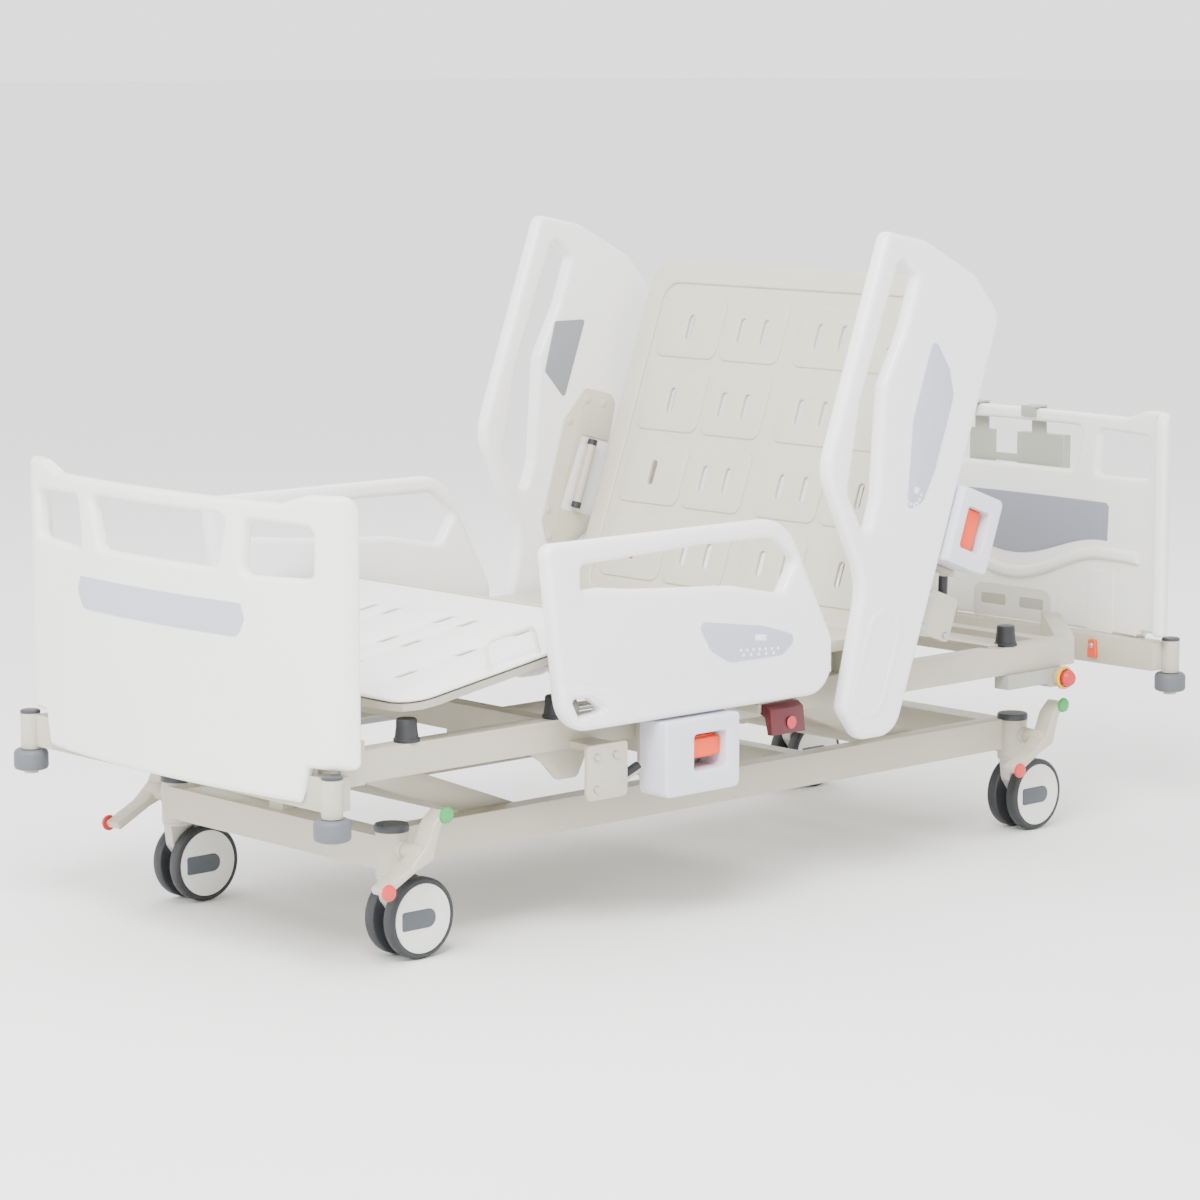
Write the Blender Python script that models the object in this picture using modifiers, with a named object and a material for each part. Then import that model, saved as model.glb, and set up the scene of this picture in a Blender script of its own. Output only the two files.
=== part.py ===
"""Adjustable four-caster hospital bed, modelled with its back raised and its knee section lifted.

Metres, +Z up. X runs from the foot end to the head end, the patient's left side is at -Y,
Z = 0 is the floor, and X = 0 is halfway between the corner posts of the two ends.
"""

import math

import bmesh
import bpy
from mathutils import Matrix, Vector

# Lying surface
DECK_TOP = 0.490
DECK_HALF_WIDTH = 0.450
DECK_THICKNESS = 0.024
DECK_CORNER = 0.060
BACK_HINGE_X = 0.270
BACK_HINGE_DROP = 0.040
BACK_START = 0.015
BACK_LENGTH = 0.758
BACK_ANGLE = math.radians(70.0)
THIGH_HINGE_X = -0.075
LEG_HINGE_DROP = 0.035
THIGH_START = 0.012
THIGH_LENGTH = 0.360
THIGH_ANGLE = math.radians(15.0)
CALF_LENGTH = 0.545
CALF_SLOPE = math.radians(9.34)
SEAT_HEAD_GAP = 0.042
SEAT_FOOT_GAP = 0.017
HINGE_TUBE_RADIUS = 0.009
HINGE_TUBE_HALF = 0.372
HINGE_LUG_RADIUS = 0.010
LUG_THICKNESS = 0.010
BACK_TUBE_Y = 0.300
BACK_TUBE_WIDTH = 0.030
KNEE_TUBE_HALF = 0.330

# Upper frame
POST_X = 1.144
POST_Y = 0.455
POST_RADIUS = 0.019
POST_TOP = 0.381
POST_BOTTOM = 0.3125
ROLLER_RADIUS = 0.033
ROLLER_HEIGHT = 0.040
SPINDLE_RADIUS = 0.008
TUBE_Y = 0.400
TUBE_WIDTH = 0.040
TUBE_BOTTOM = 0.3565
TUBE_TOP = 0.4130
TUBE_BEND_X = 0.860
END_BAR_BOTTOM = 0.318
END_BAR_TOP = 0.378
END_BAR_WIDTH = 0.048
CROSS_BAR_WIDTH = 0.040
BUFFER_X = (-0.930, -0.576, 0.673)
BUFFER_RADIUS = 0.0215
BUFFER_TOP = 0.450

# Base and casters
COLUMN_FOOT_X = -0.901
COLUMN_HEAD_X = 0.790
COLUMN_Y = 0.321
COLUMN_RADIUS = 0.031
COLUMN_BOTTOM = 0.158
COLUMN_TOP = 0.241
BASE_TUBE_Y = 0.300
BASE_TUBE_WIDTH = 0.040
BASE_BOTTOM = 0.175
BASE_TOP = 0.238
WHEEL_RADIUS = 0.075
WHEEL_DISC = 0.027
WHEEL_GAP = 0.026
CASTER_TRAIL = 0.040
AXLE_RADIUS = 0.006
PEDAL_Z = 0.206
PEDAL_Y = 0.400
PEDAL_WIDTH = 0.040

# Lift linkage
LIFT_FOOT_X = -0.550
LIFT_HEAD_X = 0.550
LIFT_BASE_Z = 0.205
LIFT_REACH = 0.450
LIFT_RISE = 0.170
LIFT_ARM_Y = 0.250
LIFT_ARM_THICKNESS = 0.030
LIFT_ARM_WIDTH = 0.048
LIFT_TUBE_RADIUS = 0.020
LIFT_SHAFT_RADIUS = 0.0125
LIFT_LEVER = 0.080
LIFT_LEVER_LEAN = math.radians(20.25)

# Actuators
ACTUATOR_RADIUS = 0.022
ROD_RADIUS = 0.009
BACK_ACTUATOR_Y = 0.100
KNEE_ACTUATOR_Y = -0.100
BACK_LEVER = 0.100
BACK_LEVER_LEAN = math.radians(32.5)
KNEE_LEVER = 0.100
KNEE_LEVER_LEAN = math.radians(2.5)
LEVER_PLATE = 0.008
YOKE_CHEEK = 0.006
YOKE_GAP = 0.0015
HOUSING_BORE_GAP = 0.001

# Side rails, whose heights are measured from each section's own plane
RAIL_INNER_Y = 0.480
RAIL_OUTER_Y = 0.515
RAIL_TOP_PIVOT_Y = 0.465
RAIL_LOW_PIVOT_Y = 0.440
FOOT_LINK_RISE = 0.160
HEAD_LINK_RISE = 0.125
LINK_HALF = 0.075
LINK_INNER_Y = 0.4285
LINK_OUTER_Y = 0.4545
LINK_LUG = 0.012
HOUSING_INNER_Y = 0.4555
HOUSING_OUTER_Y = 0.530
FOOT_LINK_X = -0.303
FOOT_LINK_Z = 0.285
HEAD_LINK_U = 0.2735
HEAD_LINK_V = -0.120
DAMPER_RADIUS = 0.009

# End boards
BOARD_CROWN_X = 1.185
BOARD_BOW = 0.224
BOARD_THICKNESS = 0.028
BOARD_SKIRT = 0.006
BOARD_HALF_WIDTH = 0.470
BOARD_WRAP_X = 1.085
BOARD_TOP = 0.848
BOARD_CORNER_TOP = 0.868
BOARD_SKIRT_HALF = 0.375
FOOTBOARD_SKIRT_BOTTOM = 0.328
HEADBOARD_SKIRT_BOTTOM = 0.372
BOARD_REST_Z = 0.3785
BOARD_WING_BOTTOM = 0.390

GAP = 0.0005
CONTROL_DEPTH = 0.026
CENTRE_SHIFT = (CONTROL_DEPTH + 0.0015) / 2
BACK_HINGE_Z = DECK_TOP - BACK_HINGE_DROP
LEG_HINGE_Z = DECK_TOP - LEG_HINGE_DROP

for old in list(bpy.data.objects):
    bpy.data.objects.remove(old, do_unlink=True)

bed = bpy.data.collections.new("hospital_bed")
helpers = bpy.data.collections.new("cutters_and_guides")
bpy.context.scene.collection.children.link(bed)
bpy.context.scene.collection.children.link(helpers)


def material(name, colour, roughness, metallic=0.0):
    made = bpy.data.materials.new(name)
    made.use_nodes = True
    shader = made.node_tree.nodes["Principled BSDF"]
    shader.inputs["Base Color"].default_value = (*colour, 1.0)
    shader.inputs["Roughness"].default_value = roughness
    shader.inputs["Metallic"].default_value = metallic
    return made


CREAM_STEEL = material("cream_painted_steel", (0.72, 0.70, 0.62), 0.40)
DECK_PLASTIC = material("deck_plastic", (0.74, 0.72, 0.65), 0.50)
CALF_PLASTIC = material("white_deck_plastic", (0.84, 0.84, 0.84), 0.45)
RAIL_PLASTIC = material("white_rail_plastic", (0.83, 0.83, 0.84), 0.35)
LINK_PLASTIC = material("lavender_link_plastic", (0.70, 0.70, 0.78), 0.40)
LATCH_ORANGE = material("orange_latch", (0.95, 0.17, 0.05), 0.40)
TYRE_RUBBER = material("tyre_rubber", (0.03, 0.03, 0.035), 0.75)
CASTER_PLASTIC = material("caster_plastic", (0.55, 0.54, 0.52), 0.45)
BUMPER_RUBBER = material("bumper_rubber", (0.13, 0.13, 0.15), 0.65)
ACTUATOR_PLASTIC = material("black_actuator_plastic", (0.02, 0.02, 0.02), 0.45)
POLISHED_ROD = material("polished_rod", (0.70, 0.70, 0.72), 0.20, 1.0)
LEVER_RED = material("dark_red_lever", (0.12, 0.01, 0.02), 0.45)
STOP_RED = material("stop_button_red", (0.65, 0.02, 0.02), 0.40)
STOP_YELLOW = material("stop_collar_yellow", (0.80, 0.60, 0.05), 0.40)
CONTROL_GREY = material("control_box_grey", (0.30, 0.30, 0.26), 0.50)
CABLE_GREY = material("cable_grey", (0.25, 0.25, 0.26), 0.55)


def bake(obj):
    """Replaces an object by the plain mesh that its modifiers or its curve give."""
    bpy.context.view_layer.update()
    graph = bpy.context.evaluated_depsgraph_get()
    mesh = bpy.data.meshes.new_from_object(obj.evaluated_get(graph))
    shape = bmesh.new()
    shape.from_mesh(mesh)
    bmesh.ops.remove_doubles(shape, verts=shape.verts, dist=0.00001)
    shape.to_mesh(mesh)
    shape.free()
    made = bpy.data.objects.new(obj.name, mesh)
    made.matrix_world = obj.matrix_world
    bpy.data.objects.remove(obj, do_unlink=True)
    helpers.objects.link(made)
    return made


def freeze(obj):
    """Moves an object's place into its mesh."""
    bpy.context.view_layer.update()
    obj.data.transform(obj.matrix_world)
    obj.matrix_world = Matrix()
    return obj


def box(low, high):
    """A box between two opposite corners, given in any order."""
    centre = [(a + b) / 2 for a, b in zip(low, high)]
    size = [abs(b - a) for a, b in zip(low, high)]
    shape = bmesh.new()
    matrix = Matrix.Translation(centre) @ Matrix.Diagonal((*size, 1.0))
    bmesh.ops.create_cube(shape, size=1.0, matrix=matrix)
    mesh = bpy.data.meshes.new("box")
    shape.to_mesh(mesh)
    shape.free()
    obj = bpy.data.objects.new("box", mesh)
    helpers.objects.link(obj)
    return obj


def rod(start, end, radius, sides=12, end_radius=None):
    """A cylinder or cone between two points."""
    start = Vector(start)
    end = Vector(end)
    along = end - start
    turn = Vector((0, 0, 1)).rotation_difference(along.normalized()).to_matrix().to_4x4()
    shape = bmesh.new()
    bmesh.ops.create_cone(
        shape,
        cap_ends=True,
        segments=sides,
        radius1=radius,
        radius2=radius if end_radius is None else end_radius,
        depth=along.length,
        matrix=Matrix.Translation((start + end) / 2) @ turn,
    )
    mesh = bpy.data.meshes.new("rod")
    shape.to_mesh(mesh)
    shape.free()
    obj = bpy.data.objects.new("rod", mesh)
    helpers.objects.link(obj)
    return obj


def rounded(corners, steps=3):
    """Points of a polygon whose corners (x, y, radius) are turned as arcs."""
    points = []
    count = len(corners)
    for i, (x, y, radius) in enumerate(corners):
        here = Vector((x, y))
        back = (Vector(corners[i - 1][:2]) - here).normalized()
        ahead = (Vector(corners[(i + 1) % count][:2]) - here).normalized()
        if radius <= 0:
            points.append(here)
            continue
        half = back.angle(ahead) / 2
        reach = radius / math.tan(half)
        centre = here + (back + ahead).normalized() * (radius / math.sin(half))
        first = here + back * reach - centre
        last = here + ahead * reach - centre
        sweep = first.angle_signed(last)
        for k in range(steps + 1):
            points.append(centre + Matrix.Rotation(-sweep * k / steps, 2) @ first)
    return points


def plate(outlines, thickness, matrix):
    """A flat plate from one outline and its windows, centred on the outline's plane."""
    curve = bpy.data.curves.new("plate", "CURVE")
    curve.dimensions = "2D"
    curve.fill_mode = "BOTH"
    curve.extrude = thickness / 2
    for outline in outlines:
        spline = curve.splines.new("POLY")
        spline.points.add(len(outline) - 1)
        for point, (x, y) in zip(spline.points, outline):
            point.co = (x, y, 0, 1)
        spline.use_cyclic_u = True
    obj = bpy.data.objects.new("plate", curve)
    obj.matrix_world = matrix
    helpers.objects.link(obj)
    return freeze(bake(obj))


# A plate drawn in X and Z, or in Y and Z, and stood up at its middle plane.
def plate_xz(outlines, thickness, y):
    matrix = Matrix(((1, 0, 0, 0), (0, 0, -1, y), (0, 1, 0, 0), (0, 0, 0, 1)))
    return plate(outlines, thickness, matrix)


def plate_yz(outlines, thickness, x):
    matrix = Matrix(((0, 0, 1, x), (1, 0, 0, 0), (0, 1, 0, 0), (0, 0, 0, 1)))
    return plate(outlines, thickness, matrix)


def combine(first, others, operation, solver="EXACT"):
    """Joins other solids to the first one, or cuts them out of it, and removes them."""
    for other in others:
        step = first.modifiers.new(operation.lower(), "BOOLEAN")
        step.operation = operation
        step.solver = solver
        step.object = other
        first = bake(first)
        bpy.data.objects.remove(other, do_unlink=True)
    return first


def union(*solids):
    return combine(solids[0], solids[1:], "UNION")


def cut(solid, *cutters):
    return combine(solid, cutters, "DIFFERENCE")


def finish(obj, name, finish_material, origin=(0, 0, 0)):
    """Names a piece, gives it its material, and puts its origin on its joint's axis."""
    origin = Vector(origin)
    obj.name = name
    obj.data.name = name
    obj.data.transform(Matrix.Translation(-origin))
    obj.location = origin
    obj.data.materials.clear()
    obj.data.materials.append(finish_material)
    obj.data.shade_smooth()
    obj.data.set_sharp_from_angle(angle=math.radians(32))
    helpers.objects.unlink(obj)
    bed.objects.link(obj)
    return obj


SIDES = (("left", -1), ("right", 1))
ENDS = (("foot", COLUMN_FOOT_X), ("head", COLUMN_HEAD_X))
TO_BACK = Matrix.Translation((BACK_HINGE_X, 0, BACK_HINGE_Z)) @ Matrix.Rotation(-BACK_ANGLE, 4, "Y")
TO_THIGH = Matrix.Translation((THIGH_HINGE_X, 0, LEG_HINGE_Z)) @ Matrix.Rotation(THIGH_ANGLE, 4, "Y")
KNEE_X = THIGH_HINGE_X - THIGH_LENGTH * math.cos(THIGH_ANGLE)
KNEE_Z = LEG_HINGE_Z + THIGH_LENGTH * math.sin(THIGH_ANGLE)
TO_CALF = Matrix.Translation((KNEE_X, 0, KNEE_Z)) @ Matrix.Rotation(-CALF_SLOPE, 4, "Y")


def placed(obj, matrix):
    obj.data.transform(matrix)
    return obj


def plate_xy(outlines, thickness, z):
    return plate(outlines, thickness, Matrix.Translation((0, 0, z)))


def plate_between_y(outlines, low, high):
    return plate_xz(outlines, abs(high - low), (low + high) / 2)


def capsule(a, b, radius, steps=6):
    """The outline of a bar with round ends, from a to b."""
    a = Vector(a)
    b = Vector(b)
    side = (b - a).normalized().orthogonal() * radius
    points = []
    for centre, start in ((a, side), (b, -side)):
        for k in range(steps + 1):
            points.append(centre + Matrix.Rotation(math.pi * k / steps, 2) @ start)
    return points


def turned(profile, steps, matrix):
    """A ring turned about its own Z axis from (radius, height) points round its section."""
    mesh = bpy.data.meshes.new("turned")
    count = len(profile)
    edges = [(a, (a + 1) % count) for a in range(count)]
    mesh.from_pydata([(radius, 0.0, height) for radius, height in profile], edges, [])
    obj = bpy.data.objects.new("turned", mesh)
    helpers.objects.link(obj)
    screw = obj.modifiers.new("turn", "SCREW")
    screw.axis = "Z"
    screw.steps = steps
    screw.render_steps = steps
    screw.use_merge_vertices = True
    screw.merge_threshold = 0.00001
    obj.matrix_world = matrix
    solid = freeze(bake(obj))
    shape = bmesh.new()
    shape.from_mesh(solid.data)
    bmesh.ops.recalc_face_normals(shape, faces=shape.faces)
    shape.to_mesh(solid.data)
    shape.free()
    return solid


# Base: two side tubes and two cross tubes on four caster columns, a third cross tube that
# holds the head actuator, and a boss on each column for its pedal.
HEAD_MOUNT_X = 0.190


def base_frame():
    half = BASE_TUBE_WIDTH / 2
    solids = []
    for side in (-1, 1):
        y = side * BASE_TUBE_Y
        solids.append(box((COLUMN_FOOT_X, y - half, BASE_BOTTOM), (COLUMN_HEAD_X, y + half, BASE_TOP)))
    for end in (COLUMN_FOOT_X, COLUMN_HEAD_X):
        low = (end - 0.030, -COLUMN_Y, BASE_BOTTOM - 0.006)
        high = (end + 0.030, COLUMN_Y, BASE_TOP - 0.008)
        solids.append(box(low, high))
        for side in (-1, 1):
            y = side * COLUMN_Y
            solids.append(rod((end, y, COLUMN_BOTTOM), (end, y, COLUMN_TOP), COLUMN_RADIUS, 20))
            tip = side * (COLUMN_Y + COLUMN_RADIUS + 0.010)
            solids.append(rod((end, y, PEDAL_Z), (end, tip, PEDAL_Z), 0.017))
    low = (HEAD_MOUNT_X - 0.020, -BASE_TUBE_Y, BASE_BOTTOM + 0.002)
    high = (HEAD_MOUNT_X + 0.020, BASE_TUBE_Y, BASE_TOP - 0.004)
    solids.append(box(low, high))
    lift_axis = LIFT_BASE_Z + LIFT_LEVER * 0.97
    for x in (COLUMN_FOOT_X, HEAD_MOUNT_X):
        solids.append(box((x - 0.012, -0.020, BASE_TOP - 0.012), (x + 0.012, 0.020, lift_axis + 0.020)))
    finish(union(*solids), "base_frame", CREAM_STEEL)


# Caster: a swivel plate with a neck between two discs, which turn on one axle.
def caster(name, x, y):
    axle_x = x + CASTER_TRAIL
    neck = WHEEL_GAP / 2 - 0.001
    outline = rounded([
        (x - 0.026, 0.1545, 0.0),
        (x + 0.026, 0.1545, 0.0),
        (axle_x + 0.030, 0.110, 0.014),
        (axle_x + 0.018, 0.056, 0.012),
        (axle_x - 0.018, 0.056, 0.012),
        (x - 0.020, 0.110, 0.020),
    ])
    top = COLUMN_BOTTOM - GAP
    swivel = union(
        rod((x, y, 0.1525), (x, y, top), 0.030, 20),
        plate_between_y([outline], y - neck, y + neck),
    )
    bore = rod((axle_x, y - 0.03, WHEEL_RADIUS), (axle_x, y + 0.03, WHEEL_RADIUS), AXLE_RADIUS + 0.0014, 12)
    swivel = cut(swivel, bore)
    finish(swivel, f"caster_swivel_{name}", CASTER_PLASTIC, origin=(x, y, COLUMN_BOTTOM))


def caster_wheel(name, x, y):
    axle = Vector((x + CASTER_TRAIL, y, WHEEL_RADIUS))
    inner = WHEEL_GAP / 2
    outer = inner + WHEEL_DISC
    discs = [rod(axle + Vector((0, -outer - 0.002, 0)), axle + Vector((0, outer + 0.002, 0)), AXLE_RADIUS, 8)]
    for side in (-1, 1):
        lay = Matrix.Translation(axle) @ Matrix.Rotation(math.radians(90 * side), 4, "X")
        profile = [
            (0.004, inner),
            (WHEEL_RADIUS - 0.004, inner),
            (WHEEL_RADIUS, inner + 0.006),
            (WHEEL_RADIUS, outer - 0.006),
            (WHEEL_RADIUS - 0.006, outer),
            (0.004, outer),
        ]
        discs.append(turned(profile, 24, lay))
    finish(union(*discs), f"caster_wheel_{name}", TYRE_RUBBER, origin=axle)


# Brake pedal: a bent bar with a hub that butts against its column's boss.
def pedal(name, x, side):
    z = PEDAL_Z
    outline = rounded([
        (x - 0.100, z - 0.050, 0.004),
        (x - 0.096, z - 0.062, 0.004),
        (x - 0.024, z - 0.024, 0.020),
        (x + 0.014, z - 0.012, 0.012),
        (x + 0.034, z + 0.046, 0.020),
        (x + 0.052, z + 0.068, 0.004),
        (x + 0.043, z + 0.076, 0.004),
        (x + 0.018, z + 0.054, 0.020),
        (x + 0.000, z + 0.018, 0.010),
        (x - 0.034, z - 0.014, 0.020),
    ])
    inner = COLUMN_Y + COLUMN_RADIUS + 0.010 + GAP
    solid = union(
        plate_between_y([outline], side * (PEDAL_Y - PEDAL_WIDTH / 2), side * (PEDAL_Y + PEDAL_WIDTH / 2)),
        rod((x, side * inner, z), (x, side * (PEDAL_Y + 0.012), z), 0.015),
    )
    finish(solid, f"brake_pedal_{name}", CREAM_STEEL, origin=(x, side * PEDAL_Y, z))


# Lift arm: two bars between a torque tube on the base and a shaft on the upper frame.
def lift_arm(name, x):
    z = LIFT_BASE_Z
    upper = (x - LIFT_REACH, z + LIFT_RISE)
    tip = (x - LIFT_LEVER * math.sin(LIFT_LEVER_LEAN), z + LIFT_LEVER * math.cos(LIFT_LEVER_LEAN))
    end = BASE_TUBE_Y - BASE_TUBE_WIDTH / 2 - GAP
    solids = [rod((x, -end, z), (x, end, z), LIFT_TUBE_RADIUS, 20)]
    for side in (-1, 1):
        y = side * LIFT_ARM_Y
        half = LIFT_ARM_THICKNESS / 2
        solids.append(plate_between_y([capsule((x, z), upper, LIFT_ARM_WIDTH / 2)], y - half, y + half))
    solids.append(rod((upper[0], -end, upper[1]), (upper[0], end, upper[1]), LIFT_SHAFT_RADIUS))
    solids.append(plate_xz([capsule((x, z), tip, 0.014)], LEVER_PLATE, 0))
    finish(union(*solids), f"lift_arm_{name}", CREAM_STEEL, origin=(x, 0, z))
    return tip


# Actuator: a round housing, and a rod with a forked end astride its lever.
def actuator(name, y, z, housing_from, housing_to, tip_x, height, slack=0.018):
    toward = 1 if tip_x > housing_to else -1
    inner = ROD_RADIUS + HOUSING_BORE_GAP
    mouth = housing_to
    shell = union(
        rod((housing_from, y, z), (mouth, y, z), ACTUATOR_RADIUS, 20),
        box(
            (housing_from, y - 0.026, z - 0.026),
            (housing_from + toward * 0.070, y + 0.026, z + 0.026),
        ),
    )
    depth = housing_from + toward * 0.012
    shell = cut(shell, rod((depth, y, z), (mouth + toward * 0.01, y, z), inner))
    finish(shell, f"{name}_housing", ACTUATOR_PLASTIC)
    cheek = LEVER_PLATE / 2 + YOKE_GAP
    outer = cheek + YOKE_CHEEK
    block = tip_x - toward * 0.032
    rod_back = depth + toward * slack
    ram = union(
        rod((rod_back, y, z), (block - toward * 0.002, y, z), ROD_RADIUS),
        box((block - toward * 0.012, y - outer, z - height), (tip_x + toward * 0.014, y + outer, z + height)),
    )
    ram = cut(ram, box((block, y - cheek, z - height - 0.01), (tip_x + toward * 0.03, y + cheek, z + height + 0.01)))
    finish(ram, f"{name}_rod", POLISHED_ROD, origin=(tip_x, y, z))


# Upper frame: tubes, end bars with corner posts, hinge brackets, and the buffers the
# sections come down on.
def upper_frame():
    half = TUBE_WIDTH / 2
    end_x = POST_X - END_BAR_WIDTH / 2 - 0.025
    solids = []
    for side in (-1, 1):
        y = side * TUBE_Y
        solids.append(box((-end_x - 0.02, y - half, TUBE_BOTTOM), (TUBE_BEND_X, y + half, TUBE_TOP)))
        run = 1.110 - TUBE_BEND_X
        cant = half * math.tan(math.radians(22.5))
        outer = side * (TUBE_Y + half)
        inner = side * (TUBE_Y - half)
        bend = [
            (TUBE_BEND_X - 0.05, outer),
            (TUBE_BEND_X + cant, outer),
            (1.110, outer - side * (run - cant)),
            (1.110, inner - side * (run + cant)),
            (TUBE_BEND_X - cant, inner),
            (TUBE_BEND_X - 0.05, inner),
        ]
        solids.append(plate_xy([bend], TUBE_TOP - TUBE_BOTTOM - 0.0004, (TUBE_TOP + TUBE_BOTTOM) / 2))
        solids.append(box((-1.100, y - 0.024, TUBE_BOTTOM - 0.003), (-1.045, y + 0.024, 0.432)))
        for x in BUFFER_X:
            solids.append(rod((x, y, TUBE_TOP - 0.002), (x, y, BUFFER_TOP), BUFFER_RADIUS, 12, 0.012))
    for end in (-1, 1):
        low = (end * (POST_X - 0.001), -POST_Y + 0.01, END_BAR_BOTTOM)
        high = (end * (POST_X - 0.001 - END_BAR_WIDTH), POST_Y - 0.01, END_BAR_TOP)
        solids.append(box(low, high))
        for side in (-1, 1):
            x = end * POST_X
            y = side * POST_Y
            solids.append(rod((x, y, POST_BOTTOM), (x, y, POST_TOP), POST_RADIUS, 20))
            solids.append(rod((x, y, POST_BOTTOM - 0.047), (x, y, POST_BOTTOM + 0.01), SPINDLE_RADIUS))
            solids.append(rod((x, y, POST_BOTTOM - 0.047), (x, y, POST_BOTTOM - 0.0415), 0.014))
    for x in (-0.580, 0.040, 0.820):
        wide = CROSS_BAR_WIDTH / 2
        low = (x - wide, -TUBE_Y, TUBE_BOTTOM + 0.002)
        high = (x + wide, TUBE_Y, TUBE_TOP - 0.002)
        solids.append(box(low, high))
    solids.append(box((0.620, -TUBE_Y, 0.402), (0.700, TUBE_Y, TUBE_TOP + 0.005)))
    pivot_z = LIFT_BASE_Z + LIFT_RISE
    for side in (-1, 1):
        inner = side * (BASE_TUBE_Y - BASE_TUBE_WIDTH / 2 + 0.001)
        outer = side * (BASE_TUBE_Y - BASE_TUBE_WIDTH / 2 + 0.011)
        foot_end = LIFT_FOOT_X - LIFT_REACH
        head_end = LIFT_HEAD_X - LIFT_REACH
        solids.append(box((-end_x - 0.02, inner, pivot_z - 0.030), (foot_end + 0.028, outer, pivot_z + 0.030)))
        solids.append(box((0.030, inner, pivot_z - 0.030), (head_end + 0.028, outer, pivot_z + 0.030)))
        low = side * (HINGE_TUBE_HALF + 0.001)
        high = side * (HINGE_TUBE_HALF + 0.001 + LUG_THICKNESS)
        for x, z, radius in (
            (BACK_HINGE_X, BACK_HINGE_Z, 0.0135),
            (THIGH_HINGE_X, LEG_HINGE_Z, HINGE_LUG_RADIUS),
        ):
            solids.append(rod((x, low, z), (x, high, z), radius))
            solids.append(box((x - radius, low, TUBE_TOP - 0.01), (x + radius, high, z)))
        for x in (-0.020, 0.185):
            y = side * TUBE_Y
            solids.append(box((x - 0.015, y - 0.015, TUBE_TOP - 0.01), (x + 0.015, y + 0.015, seat_bottom())))
        for x in rail_lugs(FOOT_LINK_X):
            solids.extend(rail_lug(x, side, FOOT_LINK_Z, TUBE_BOTTOM - 0.002, TUBE_Y + 0.01, 0.395))
        for x in (-0.122, -0.021):
            low = (x - 0.004, side * (TUBE_Y + 0.015), 0.377)
            high = (x + 0.004, side * 0.478, 0.393)
            solids.append(box(low, high))
    gusset = rounded([
        (-0.665, TUBE_BOTTOM + 0.01, 0.0),
        (-0.620, TUBE_BOTTOM - 0.020, 0.020),
        (-0.585, 0.300, 0.012),
        (-0.535, 0.300, 0.012),
        (-0.500, TUBE_BOTTOM + 0.01, 0.0),
    ])
    for side in (-1, 1):
        solids.append(plate_between_y([gusset], side * 0.4085, side * 0.4155))
    finish(union(*solids), "upper_frame", CREAM_STEEL)


def seat_bottom():
    return DECK_TOP - DECK_THICKNESS - GAP


def rail_lugs(centre):
    """Middles of the two lugs that hold a rail's link."""
    offset = LINK_HALF + 0.0015 + LUG_THICKNESS / 2
    return (centre - offset, centre + offset)


def rail_lug(along, side, pivot_height, tube_height, tube_y, top):
    """One lug: a round eye on the link's lower axis, and the strap that holds it."""
    low = along - LUG_THICKNESS / 2
    high = along + LUG_THICKNESS / 2
    y = side * RAIL_LOW_PIVOT_Y
    outer = side * (RAIL_LOW_PIVOT_Y + 0.0125)
    inner = side * (RAIL_LOW_PIVOT_Y - 0.0185)
    return [
        rod((low, y, pivot_height), (high, y, pivot_height), 0.0135),
        box((low, inner, pivot_height), (high, outer, tube_height + 0.006)),
        box((low, side * tube_y, tube_height), (high, outer, top)),
    ]


# Bumper roller: a thick ring on the spindle below a corner post.
def bumper_roller(name, x, y):
    z = POST_BOTTOM - 0.0207
    half = ROLLER_HEIGHT / 2
    profile = [
        (SPINDLE_RADIUS + 0.0006, -half),
        (ROLLER_RADIUS - 0.004, -half),
        (ROLLER_RADIUS, -half + 0.004),
        (ROLLER_RADIUS, half - 0.004),
        (ROLLER_RADIUS - 0.004, half),
        (SPINDLE_RADIUS + 0.0006, half),
    ]
    ring = turned(profile, 20, Matrix.Translation((x, y, z)))
    finish(ring, f"bumper_roller_{name}", BUMPER_RUBBER, origin=(x, y, z))


# Deck panels: plates with rounded corners and rows of short slots.
def slot_outlines(rows, along_sign):
    outlines = []
    for along, columns in rows:
        for y in columns:
            for side in (-1, 1):
                a = (along_sign * (along - 0.020), side * y)
                b = (along_sign * (along + 0.020), side * y)
                outlines.append(capsule(a, b, 0.0055, 2))
    return outlines


def deck_panel(start, end, start_corner, end_corner, low, slots):
    """A panel in its section's own frame: start and end along it, and rows of slots."""
    half = DECK_HALF_WIDTH
    outline = rounded([
        (start, -half, start_corner),
        (end, -half, end_corner),
        (end, half, end_corner),
        (start, half, start_corner),
    ])
    return plate_xy([outline] + slots, DECK_THICKNESS, low + DECK_THICKNESS / 2)


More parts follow.
